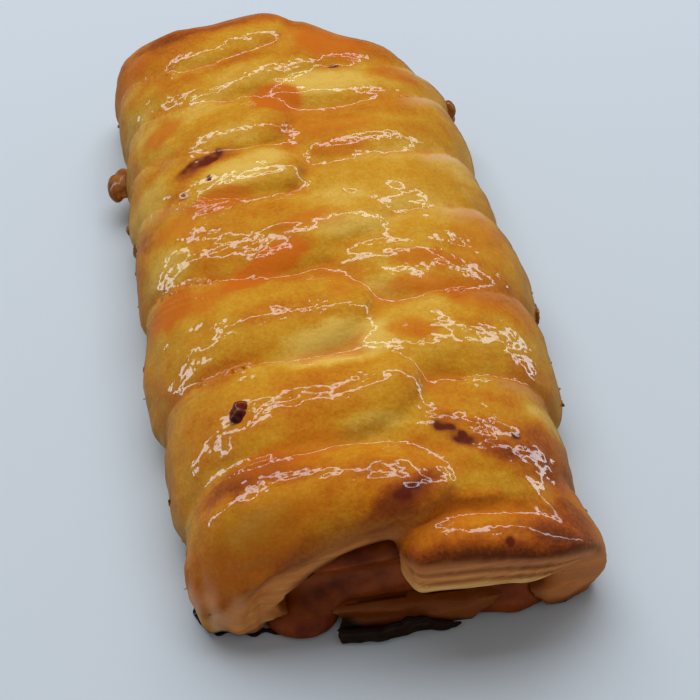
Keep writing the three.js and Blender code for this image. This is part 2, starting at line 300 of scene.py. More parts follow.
def joined(name, parts):
    points = []
    faces = []
    start = 0
    for partPoints, partFaces in parts:
        points.append(partPoints)
        faces.extend([[i + start for i in face] for face in partFaces])
        start += len(partPoints)
    return meshOf(name, np.concatenate(points), faces)


def partOf(mesh):
    return pointsOf(mesh), [list(face.vertices) for face in mesh.polygons]


# A net of neighbours, to smooth a mesh by arrays
class Net:
    def __init__(self, mesh):
        flat = np.empty(len(mesh.edges) * 2, np.int64)
        mesh.edges.foreach_get("vertices", flat)
        self.a, self.b = flat.reshape(-1, 2).T
        self.count = len(mesh.vertices)
        ends = sum(np.bincount(side, minlength=self.count) for side in (self.a, self.b))
        self.ends = np.maximum(ends, 1)

    def mean(self, values):
        columns = values.reshape(self.count, -1).T
        sums = [
            np.bincount(self.a, column[self.b], self.count)
            + np.bincount(self.b, column[self.a], self.count) for column in columns]
        return (np.array(sums) / self.ends).T.reshape(values.shape)


def relaxed(net, points, rounds, share=0.5):
    for turn in range(rounds):
        points = points + (net.mean(points) - points) * share
    return points


# A mesh whose parts run into one another, made one skin and smoothed
def fused(mesh, voxel, rounds):
    mesh = remeshed(mesh, voxel)
    points = relaxed(Net(mesh), pointsOf(mesh), rounds)
    movePoints(mesh, points)
    return mesh, points


# One small function adds a node with its settings and links
def addNode(tree, kind, inputs=None, **settings):
    node = tree.nodes.new(kind)
    for name, value in settings.items():
        setattr(node, name, value)
    for name, value in (inputs or {}).items():
        socket = node.inputs[name]
        if isinstance(value, bpy.types.NodeSocket):
            tree.links.new(value, socket)
        else:
            socket.default_value = value
    return node


def maths(tree, operation, a, b=0.0, clamp=False):
    node = addNode(tree, "ShaderNodeMath", {0: a, 1: b}, operation=operation, use_clamp=clamp)
    return node.outputs[0]


# A tree of Geometry Nodes with named inputs, and its end: real geometry of one material
def newTree(name, inputs):
    tree = bpy.data.node_groups.new(name, "GeometryNodeTree")
    sockets = [(label, "INPUT", kind) for label, kind in inputs] + [("Made", "OUTPUT", "Geometry")]
    for label, way, kind in sockets:
        tree.interface.new_socket(name=label, in_out=way, socket_type="NodeSocket" + kind)
    return tree, addNode(tree, "NodeGroupInput").outputs


def endTree(tree, geometry, finish):
    real = addNode(tree, "GeometryNodeRealizeInstances", {"Geometry": geometry})
    done = addNode(
        tree, "GeometryNodeSetMaterial", {"Geometry": real.outputs[0], "Material": finish})
    addNode(tree, "NodeGroupOutput", {"Made": done.outputs[0]})
    return tree


# The plain mesh that a tree makes of an object. Inputs are set by their sockets' identifiers.
def madeBy(tree, thing, values):
    modifier = thing.modifiers.new(tree.name, "NODES")
    modifier.node_group = tree
    for item in tree.interface.items_tree:
        if item.item_type == "SOCKET" and item.in_out == "INPUT" and item.name in values:
            modifier[item.identifier] = values[item.name]
    mesh = evaluated(thing)
    bpy.data.node_groups.remove(tree)
    return mesh


# The strips, swept by a rule along their arches
crustMaking = {
    "stations": 110,          # rings along each strip
    "ringPoints": 44,
    "voxel": 0.6,             # mm
    "lineSteps": 400,         # points of each strip's middle line before it is evened out
    "rootRounding": 1.5,      # mm
    "topLean": 2.5,           # degrees by which near edges stand up on the top
    "shoulderLean": -1.5,     # on the shoulders the nearer strip lies over the farther one
    "footLean": 5.0,          # low on the walls near edges bulge out again
    "wallOverlap": 1.3,       # mm: the creases of the walls are deeper than the solids have them
    "roundedNear": 3.8,       # the squareness of the first left strip's near side
    "polish": (3, 0.6, -0.3), # rounds, forth and back, that take the voxels' steps away
    # beside the first right strip: across, along, reach, and how much longer it is across
    "filledValley": (18.0, 8.5, 4.5, 2),
    "fillRounds": 30,         # rounds of glaze and dough that fill the creases
    "fillShare": 0.9,         # what each round moves
    "fillTurned": 6,          # rounds after which the skin's directions are measured anew
    "fillFlow": (9.0, 0.78, 0.22),    # its unevenness: spacing, mean and depth
    "wallFill": 0.18,         # the share of it on the walls
}


stripFields = ("u", "v", "strip", "share", "length", "half")    # what each skin's points keep


def alongStrip(outward, strip, wall, shoulder, end):
    upper = smooth(braid["sideAcross"], braid["shoulderAcross"], outward)
    inner = smooth(braid["shoulderAcross"], strip["endAcross"], outward)
    return mix(mix(wall, shoulder, upper), end, inner)


def stripOf(group, i):
    def middle(cuts):
        return (cuts[i] + cuts[i + 1]) / 2

    def half(cuts, overlap):
        return (cuts[i + 1] - cuts[i]) / 2 + overlap

    first = i == 0
    nearPower = crustMaking["roundedNear"] if group["side"] < 0 else braid["cutFacePower"]
    listed = ("bulge", "crest", "endAlong", "endAcross", "endHalf", "endLift", "tipRounding")
    return {
        **{key: group[key][i] for key in listed},
        "side": group["side"],
        "wallAlong": middle(group["wallCuts"]),
        "wallHalf": half(group["wallCuts"], crustMaking["wallOverlap"]),
        "shoulderAlong": middle(group["shoulderCuts"]),
        "shoulderHalf": half(group["shoulderCuts"], braid["stripOverlap"]),
        "thickness": group["openThickness"] if first else braid["stripThickness"],
        "nearPower": nearPower if first else braid["ringPower"],
    }


# The middle line of a strip: up the wall, round the shoulder and over to its free end
def stripLine(strip):
    halfWidth = strip["bulge"] - strip["thickness"] / 2
    height = strip["crest"] - braid["wallFoot"] - strip["thickness"] / 2
    power = 2 / braid["shoulderPower"]
    coarse = np.arange(braid["arcSteps"] + 1) / braid["arcSteps"] * math.pi
    reached = halfWidth * signedPower(np.cos(coarse), power) >= strip["endAcross"]
    angle = np.linspace(0, coarse[reached][-1], crustMaking["lineSteps"])
    outward = halfWidth * signedPower(np.cos(angle), power)
    rise = height * np.abs(np.sin(angle)) ** power
    along = alongStrip(
        outward, strip, strip["wallAlong"], strip["shoulderAlong"], strip["endAlong"])
    lift = alongStrip(outward, strip, 0, 0, strip["endLift"])
    line = np.stack([strip["side"] * outward, along, braid["wallFoot"] + rise + lift], 1)
    root = [strip["side"] * (halfWidth - braid["rootInset"]), strip["wallAlong"],
            braid["rootHeight"]]
    return np.concatenate([[root], line])


# The same line with evenly spaced points, and its length
def evenly(line, count):
    steps = np.linalg.norm(np.diff(line, axis=0), axis=1)
    gone = np.concatenate([[0], np.cumsum(steps)])
    at = np.linspace(0, gone[-1], count)
    return np.stack([np.interp(at, gone, line[:, k]) for k in range(3)], 1), gone[-1]


def headings(line):
    forward = np.gradient(line, axis=0)
    return forward / np.linalg.norm(forward, axis=1, keepdims=True)


# A guide has one row of values for each station: the middle, the ring's two half axes, its
# squareness and what the skin keeps of them
def guideOf(centre, wide, thick, nearPower, share, strip=0, length=0, half=0):
    flat = {"nearPower": nearPower, "share": share, "strip": strip, "length": length, "half": half}
    rows = {name: np.zeros(len(centre)) + value for name, value in flat.items()}
    return {"position": centre, "wide": wide, "thick": thick, **rows}


def stripGuide(strip, index, settings):
    centre, length = evenly(stripLine(strip), settings["stations"])
    forward = headings(centre)
    outward = strip["side"] * centre[:, 0]
    half = alongStrip(
        outward, strip, strip["wallHalf"], strip["shoulderHalf"], strip["endHalf"])
    share = np.linspace(0, 1, settings["stations"])
    left = np.clip((1 - share) * length / strip["tipRounding"], 0, 1)
    begun = np.clip(share * length / settings["rootRounding"], 0, 1)
    tip = rounding(left) * rounding(begun)
    wide = np.array([0, 1, 0]) - forward * forward[:, 1:2]
    wide /= np.linalg.norm(wide, axis=1, keepdims=True)
    up = np.cross(forward, wide) * -strip["side"]
    level = centre[:, 2]
    lean = settings["footLean"] * zone("leanFoot", level)
    lean += settings["shoulderLean"] * zone("leanShoulder", level) * zone("leanAside", outward)
    lean += settings["topLean"] * zone("leanTop", outward)
    lean = np.radians(lean)[:, None]
    leant = wide * np.cos(lean) - up * np.sin(lean)
    upright = up * np.cos(lean) + wide * np.sin(lean)
    return guideOf(
        centre, leant * (half * tip)[:, None],
        upright * (strip["thickness"] / 2 * np.sqrt(tip))[:, None],
        strip["nearPower"], share, index, length, half)


def guideMesh(guides):
    rows = {key: np.concatenate([guide[key] for guide in guides]) for key in guides[0]}
    mesh = bpy.data.meshes.new("stripGuides")
    mesh.from_pydata(rows.pop("position").tolist(), [], [])
    for key, values in rows.items():
        kind = "FLOAT_VECTOR" if values.ndim == 2 else "FLOAT"
        attribute = mesh.attributes.new(key, kind, "POINT")
        field = "vector" if values.ndim == 2 else "value"
        attribute.data.foreach_set(field, np.ascontiguousarray(values, np.float32).ravel())
    return mesh


# Rings round the guide's points, joined to a skin: a rounded square whose near side may be
# squarer than the rest, which makes a flat cut face
def stripTree():
    tree, given = newTree("foldedStrips", [
        ("Guide", "Geometry"), ("Stations", "Int"), ("Rows", "Int"), ("Ring points", "Int"),
        ("Ring power", "Float"), ("Dough", "Material")])

    def calculate(operation, a, b=0.0):
        return maths(tree, operation, a, b)

    def changed(kind, inputs, **settings):
        return addNode(tree, kind, inputs, **settings).outputs[0]

    columns = calculate("ADD", given["Ring points"], 1.0)
    index = changed("GeometryNodeInputIndex", {})
    row = calculate("FLOOR", calculate("DIVIDE", index, columns))
    column = calculate("SUBTRACT", index, calculate("MULTIPLY", row, columns))
    turn = calculate("MULTIPLY", calculate("DIVIDE", column, given["Ring points"]), 2 * math.pi)

    def sampled(value, kind):
        return changed("GeometryNodeSampleIndex", {
            "Geometry": given["Guide"], "Value": value, "Index": row}, data_type=kind, clamp=True)

    def carried(name, kind="FLOAT"):
        return sampled(changed(
            "GeometryNodeInputNamedAttribute", {"Name": name}, data_type=kind), kind)

    sideways = calculate("COSINE", turn)
    upwards = calculate("SINE", turn)
    near = calculate("LESS_THAN", sideways, 0.0)
    squarer = calculate("SUBTRACT", carried("nearPower"), given["Ring power"])
    power = calculate("ADD", given["Ring power"], calculate("MULTIPLY", near, squarer))
    exponent = calculate("DIVIDE", 2.0, power)

    def rounded(value):
        size = calculate("POWER", calculate("ABSOLUTE", value), exponent)
        return calculate("MULTIPLY", calculate("SIGN", value), size)

    u = rounded(sideways)
    v = rounded(upwards)

    def scaled(name, factor):
        return changed("ShaderNodeVectorMath", {
            0: carried(name, "FLOAT_VECTOR"), "Scale": factor}, operation="SCALE")

    centre = sampled(changed("GeometryNodeInputPosition", {}), "FLOAT_VECTOR")
    ring = changed("ShaderNodeVectorMath", {0: scaled("wide", u), 1: scaled("thick", v)})
    place = changed("ShaderNodeVectorMath", {0: centre, 1: ring})
    grid = changed("GeometryNodeMeshGrid", {"Vertices X": given["Rows"], "Vertices Y": columns})
    skin = changed("GeometryNodeSetPosition", {"Geometry": grid, "Position": place})
    for name in stripFields:
        value = {"u": u, "v": v}[name] if name in "uv" else carried(name)
        skin = changed("GeometryNodeStoreNamedAttribute", {
            "Geometry": skin, "Name": name, "Value": value})
    faceRow = calculate("FLOOR", calculate("DIVIDE", index, given["Ring points"]))
    nextRow = calculate("ADD", faceRow, 1.0)
    bridge = calculate("COMPARE", calculate("MODULO", nextRow, given["Stations"]), 0.0)
    skin = changed(
        "GeometryNodeDeleteGeometry", {"Geometry": skin, "Selection": bridge}, domain="FACE")
    skin = changed("GeometryNodeMergeByDistance", {"Geometry": skin, "Distance": 0.001})
    return endTree(tree, skin, given["Dough"])


def sweptAlong(guides, settings, power, finish):
    return madeBy(stripTree(), objectOf(guideMesh(guides), "guides"), {
        "Stations": settings["stations"], "Rows": settings["stations"] * len(guides),
        "Ring points": settings["ringPoints"], "Ring power": power, "Dough": finish})


def sweptStrips(settings, dough, wanted):
    guides = []
    count = 0
    for group in (leftStrips, rightStrips):
        for i in range(len(group["bulge"])):
            if wanted(group["side"], i):
                guides.append(stripGuide(stripOf(group, i), count, settings))
            count += 1
    return sweptAlong(guides, settings, braid["ringPower"], dough)


# The ends of the braid in plan
def bent(along, bends, across):
    return along + sum(howFar * smooth(start, stop, across) for start, stop, howFar in bends)


def nearEnd(across):
    return bent(braid["nearAlong"], braid["nearBends"], across)


def farEnd(across):
    slant = braid["farSlant"] * np.maximum(across, 0) ** braid["farSlantPower"]
    return bent(braid["farAlong"], braid["farBends"], across) - slant


def mouthShare(across):
    start, stop = braid["cornerFade"]
    return smooth(braid["cornerEnd"] + start, braid["cornerEnd"] + stop, across)


# A long body whose cross-section is a rounded square with a flat foot. The shares say where its
# rings lie, from its near end to its far end.
def longBody(halfWidth, foot, top, nearAt, farAt, power, shares, middle=0.0, ringPoints=48):
    turn = np.arange(ringPoints) / ringPoints * 2 * math.pi
    length = farAt(np.zeros(1))[0] - nearAt(np.zeros(1))[0]
    points = []
    for share in shares:
        fall = min(1.0, min(share, 1 - share) * length / braid["endCorner"])
        width = 1 - braid["endNarrowing"] * (1 - rounding(fall))
        across = middle + halfWidth * width * signedPower(np.cos(turn), 2 / power)
        level = signedPower(np.sin(turn), 2 / power)
        level = np.maximum(0, (level + braid["footShare"]) / (1 + braid["footShare"]))
        along = mix(nearAt(across), farAt(across), share)
        points.append(np.stack([across, along, foot + (top - foot) * level], 1))
    faces = []
    for r in range(len(points) - 1):
        for k in range(ringPoints):
            after = (k + 1) % ringPoints
            a = r * ringPoints
            b = a + ringPoints
            faces.append([a + k, a + after, b + after, b + k])
    last = (len(points) - 1) * ringPoints
    faces += [list(reversed(range(ringPoints))), list(range(last, last + ringPoints))]
    return outwards(np.concatenate(points), faces)


# Points and faces, with the faces turned out
def outwards(points, faces):
    mesh = meshOf("turning", points, faces)
    edit = bmesh.new()
    edit.from_mesh(mesh)
    bmesh.ops.recalc_face_normals(edit, faces=edit.faces)
    edit.to_mesh(mesh)
    edit.free()
    result = partOf(mesh)
    bpy.data.meshes.remove(mesh)
    return result


bodyRings = np.linspace(0, 1, 60)
mouthRings = np.linspace(0, 1, 20)


def sheetPart():
    return longBody(
        braid["sheetHalfWidth"], 0, braid["sheetTop"], nearEnd, farEnd, braid["sheetPower"],
        bodyRings)


def corePart():
    def nearAt(across):
        return mix(braid["coreNearLeft"], braid["coreNearAlong"], mouthShare(across))

    def farAt(across):
        return farEnd(across) - braid["coreFarInset"]

    return longBody(
        braid["sheetHalfWidth"] - braid["coreInset"], braid["coreFoot"], braid["coreTop"],
        nearAt, farAt, braid["shoulderPower"], bodyRings)


# The crust: strips, core and sheet grown into one skin, creases filled, then its relief
relief = {
    "swell": (14.0, 0.7),         # spacing and height in mm: the dough rose unevenly
    "ripple": (5.5, 0.22),
    "raisedEdge": (0.75, 0.5),    # mm, on the shoulders: each strip's far edge lies over the next
    "firstCrest": (17.0, -1.0, 22.0, 4.5, -4, 1.1),   # the first right strip stands proud
    "crestEdge": (1.2, 0.2),      # where that patch begins and is whole
    "grain": ((11.0, 2.4), 0.07), # fine folds that run along each strip
    "finerGrain": (0.6, 0.5, 0.5),    # finer ones among them, as shares of their sizes and height
    "grainApart": 40,             # mm from one strip's folds to the next one's
    "glazedGrain": 0.7,           # how far the glaze hides them
    "blister": (2.6, 0.085),
    "pimple": (1.3, 0.022),
    "rough": (15.0, 0.35, 1.3, 1.5),  # spacing, smooth places, rough ones and the open end
    "wall": ((8.0, 5.5, 7.0), 0.4),   # the side walls are rougher
    "wrinkle": ((4.0, 1.8, 5.0), 0.14),
    "cornerFold": ((2.7, 7.0, 16.0), 2.2),    # the puckered dough of the shut corner
    "layer": (1.6, 0.12),         # the leaves of dough that show on a cut face
    "layerWander": ((9.0, 1.4), (3.5, 0.35)),    # their waves: spacing and height
    "layerRise": 0.9,
    "outerEnd": 1.5,              # they are deeper on the outer end
    "stripReach": 1.6,            # mm from a swept strip within which a point is on that strip
    "floorClear": 0.5,            # mm above the floor up to which the foot is flat
    "riseFrom": (0, 2.0),         # mm above the floor where the relief begins and is whole
}


# Creases fill where the skin is hollow: a hollow point's neighbours lie further out than it does
def fillCreases(mesh, net, rounds, share):
    start = pointsOf(mesh)
    points = start.copy()
    for turn in range(rounds):
        if turn % crustMaking["fillTurned"] == 0:
            movePoints(mesh, points)
            normals = normalsOf(mesh)
        hollow = ((net.mean(points) - points) * normals).sum(1)
        points += normals * (np.clip(hollow, 0, None) * share)[:, None]
    movePoints(mesh, points)
    return ((points - start) * normals).sum(1)


# The values that the strips' guides carry, read at the nearest point of their swept skins
def stripValues(strips, points):
    places = np.concatenate([pointsOf(mesh) for mesh in strips])
    tree = KDTree(len(places))
    for i, place in enumerate(places):
        tree.insert(place, i)
    tree.balance()
    found = [tree.find(point)[1:] for point in points]
    nearest = np.array([index for index, away in found])
    at = {"away": np.array([away for index, away in found])}
    for name in stripFields:
        at[name] = np.concatenate([readValues(mesh, name) for mesh in strips])[nearest]
    return at


firstRightReach = 1.3    # mm from the first right strip's skin


def isFirstRight(at):
    return (np.abs(at["strip"] - len(leftStrips["bulge"])) < 0.5) & (at["away"] < firstRightReach)


# The sliced edges of dough at the open end: the inner half of the first left strip's near side,
# and all but the top of the first right strip's, which is flat up to its outer end
def cutFaceShare(points, at):
    left = zone("cutSide", at["u"]) * zone("cutInner", at["v"])
    left *= (at["strip"] < 0.5) * zone("cutLeft", points[:, 0])
    flat = zone("cutFlat", points[:, 0])
    start, stop = [mix(a, b, flat) for a, b in zip(zones["cutSide"], zones["cutSideFlat"])]
    right = smooth(start, stop, at["u"])
    right *= zone("cutBelowTop", at["v"]) * isFirstRight(at)
    return (left + right) * zone("cutAboveFoot", points[:, 2])


# The thick outer end below the first right strip, rough and layered like its cut face
def outerEndShare(points, normals):
    share = zone("outerAcross", points[:, 0]) * zone("outerAlong", points[:, 1])
    share *= zone("outerFacing", normals[:, 1]) * zone("outerBelow", points[:, 2])
    return share * zone("outerAbove", points[:, 2])


# The dough round the mouth, soaked with juice and painted with the shade of the mouth's recess:
# what the mouth's cut left, and the bottom lip
def soakedAndShadedShare(points, at):
    aside = np.abs(points[:, 0] - apple["mouthAcross"]) / apple["mouthHalfWidth"]
    level = (points[:, 2] - apple["foot"]) / (apple["mouthTop"] - apple["foot"])
    level = np.clip(level * (1 + braid["footShare"]) - braid["footShare"], 0, None)
    out = aside ** apple["mouthPower"] + level ** apple["mouthPower"]
    depth = points[:, 1] - nearEnd(points[:, 0])
    inner = zone("mouthRim", out) * zone("soakedFrom", depth) * zone("soakedTo", depth)
    lip = zone("lipBelow", points[:, 2]) * zone("lipTo", depth) * zone("lipLeft", points[:, 0])
    lip *= zone("lipRight", points[:, 0])
    return np.maximum(inner * ~isFirstRight(at), lip)


def addRelief(mesh, at, filled, cut):
    points = pointsOf(mesh)
    normals = normalsOf(mesh)
    steep = zone("steep", normals[:, 2])
    glazed = zone("glazed", filled)
    apart = relief["grainApart"]
    own = np.stack(
        [at["share"] * at["length"], at["u"] * at["half"], at["strip"] * apart], 1)

    def bumps(key, seed):
        spacing, height = relief[key]
        return noise(points, spacing, seed) * height

    rise = bumps("swell", 1) + bumps("ripple", 2)
    crest = patchShare(points, relief["firstCrest"], relief["crestEdge"])
    rise += crest * zone("crestAbove", points[:, 2])
    leftEdge, rightEdge = relief["raisedEdge"]
    edge = zone("edgeFar", at["u"]) * zone("edgeOuter", at["v"]) * zone("edgeUnfilled", filled)
    edge *= zone("edgeAcross", np.abs(points[:, 0])) * (at["away"] < relief["stripReach"])
    rise += edge * np.where(points[:, 0] < 0, leftEdge, rightEdge)
    (longWay, wideWay), height = relief["grain"]
    longShare, wideShare, highShare = relief["finerGrain"]
    grain = noise(own, (longWay, wideWay, apart), 3) + highShare * noise(
        own, (longWay * longShare, wideWay * wideShare, apart), 4)
    rise += grain * height * (1 - relief["glazedGrain"] * glazed) * (1 - cut)
    spacing, smoothest, roughest, atEnd = relief["rough"]
    rough = mix(smoothest, roughest, zone("roughPlaces", noise(points, spacing, 13)))
    rough = np.maximum(rough, atEnd * zone("roughEnd", points[:, 1]))
    rise += bumps("blister", 5) * rough * (1 - cut)
    rise += bumps("pimple", 6) * rough
    rise += (bumps("wall", 7) + bumps("wrinkle", 8)) * steep * (1 - cut)
    corner = zone("cornerAcross", points[:, 0]) * zone("cornerAlong", points[:, 1])
    rise += bumps("cornerFold", 11) * corner * zone("cornerBelow", points[:, 2])
    wander = 0
    for seed, (spacing, height) in zip((9, 10), relief["layerWander"]):
        wander = wander + noise(points, spacing, seed) * height
    spacing, height = relief["layer"]
    depth = points[:, 2] * relief["layerRise"] + wander
    layers = np.abs(np.sin(depth / spacing * math.pi)) - 0.5
    rise += layers * height * cut
    low = smooth(*relief["riseFrom"], points[:, 2])
    points += normals * (rise * low)[:, None]
    keepAboveFloor(mesh, points)


# All points of the underside lie flat, and its faces become one
def flattenFoot(mesh):
    clear = relief["floorClear"]
    points = pointsOf(mesh)
    points[:, 2] = np.where(points[:, 2] < clear, 0, points[:, 2])
    movePoints(mesh, points)
    edit = bmesh.new()
    edit.from_mesh(mesh)
    flat = [face for face in edit.faces if max(v.co.z for v in face.verts) < clear]
    edges = {edge for face in flat for edge in face.edges}
    flatSet = set(flat)
    inner = [edge for edge in edges if all(face in flatSet for face in edge.link_faces)]
    bmesh.ops.dissolve_edges(edit, edges=inner, use_verts=True)
    edit.to_mesh(mesh)
    edit.free()


# The shares of a body's length that lie within some mm of its ends, closely, and a few between
def endShares(reach, step, length, between):
    near = np.arange(0, reach, step) / length
    middle = np.linspace(near[-1], 1 - near[-1], between + 2)[1:-1]
    return np.concatenate([near, middle, 1 - near[::-1]])


def applePart(play, shares):
    endPlay = apple["endPlayShare"] * play

    def nearAt(across):
        return mix(apple["nearLeft"], apple["nearAlong"], mouthShare(across)) - endPlay

    def farAt(across):
        return farEnd(across) - apple["farInset"] + endPlay

    return longBody(
        apple["halfWidth"] + play, apple["foot"] - play, apple["top"] + play,
        nearAt, farAt, apple["power"], shares, apple["across"])


def lumpPart(centre, size, fineness=3):
    edit = bmesh.new()
    bmesh.ops.create_icosphere(edit, subdivisions=fineness, radius=1)
    points = np.array([v.co[:] for v in edit.verts]) * size + centre
    points[:, 2] = np.maximum(points[:, 2], 0)
    faces = [[v.index for v in face.verts] for face in edit.faces]
    edit.free()
    return points, faces


# The openings at both ends, and the space for the apple
def mouthMeshes():
    foot = apple["foot"] - apple["play"]
    behind = braid["coreFarInset"] + apple["mouthDepth"]
    near = longBody(
        apple["mouthHalfWidth"], foot, apple["mouthTop"],
        lambda across: -apple["mouthReach"] + 0 * across,
        lambda across: braid["coreNearAlong"] + apple["mouthDepth"] + 0 * across,
        apple["mouthPower"], mouthRings, apple["mouthAcross"])
    far = longBody(
        apple["halfWidth"], foot, apple["top"] + apple["play"],
        lambda across: farEnd(across) - behind,
        lambda across: farEnd(across) + apple["mouthReach"], apple["farPower"],
        mouthRings, apple["across"])
    return [joined("mouth", [part]) for part in (near, far)]


def appleSpaceMeshes():
    shares = endShares(reach=9, step=1, length=150, between=3)
    parts = [applePart(apple["play"], shares)]
    for centre, size in apple["oozes"]:
        parts.append(lumpPart(centre, np.array(size) + apple["play"]))
    return [joined("appleSpace", [part]) for part in parts]


def growCrust(settings, dough):
    def isAcrossMouth(side, i):
        return side > 0 and i == 0

    strips = sweptStrips(settings, dough, lambda side, i: not isAcrossMouth(side, i))
    acrossMouth = sweptStrips(settings, dough, isAcrossMouth)
    print("strips swept:", len(strips.vertices) + len(acrossMouth.vertices), "points")
    skin = remeshed(joined("crust", [partOf(strips), sheetPart(), corePart()]), settings["voxel"])
    for mouth in mouthMeshes():
        skin = cutBy(skin, mouth)
    skin = remeshed(joined("crust", [partOf(skin), partOf(acrossMouth)]), settings["voxel"])
    net = Net(skin)
    points = pointsOf(skin)
    rounds, forth, back = settings["polish"]
    for turn in range(rounds):
        points = relaxed(net, relaxed(net, points, 1, forth), 1, back)
    movePoints(skin, points)
    at = stripValues([strips, acrossMouth], points)
    outerEnd = relief["outerEnd"] * outerEndShare(points, normalsOf(skin))
    cut = np.maximum(cutFaceShare(points, at), outerEnd)
    isOpen = zone("fillFrom", points[:, 1] - nearEnd(points[:, 0]))
    isOpen *= zone("fillAbove", points[:, 2])
    spacing, mean, depth = settings["fillFlow"]
    flow = mean + depth * noise(points, spacing, 12)
    flow *= mix(1, settings["wallFill"], zone("fillLessAcross", np.abs(points[:, 0])))
    most = settings["fillShare"]
    filled = fillCreases(skin, net, settings["fillRounds"], most * isOpen * flow)
    across, along, reach, longer = settings["filledValley"]
    away = np.hypot((points[:, 0] - across) / longer, points[:, 1] - along)
    valley = zone("valley", away / reach)
    fillCreases(skin, net, settings["fillRounds"] * 2, most * valley)
    filled = net.mean(net.mean(filled))
    addRelief(skin, at, filled, cut)
    flattenFoot(skin)
    print("crust grown:", len(skin.vertices), "points")
    return skin, [strips, acrossMouth]
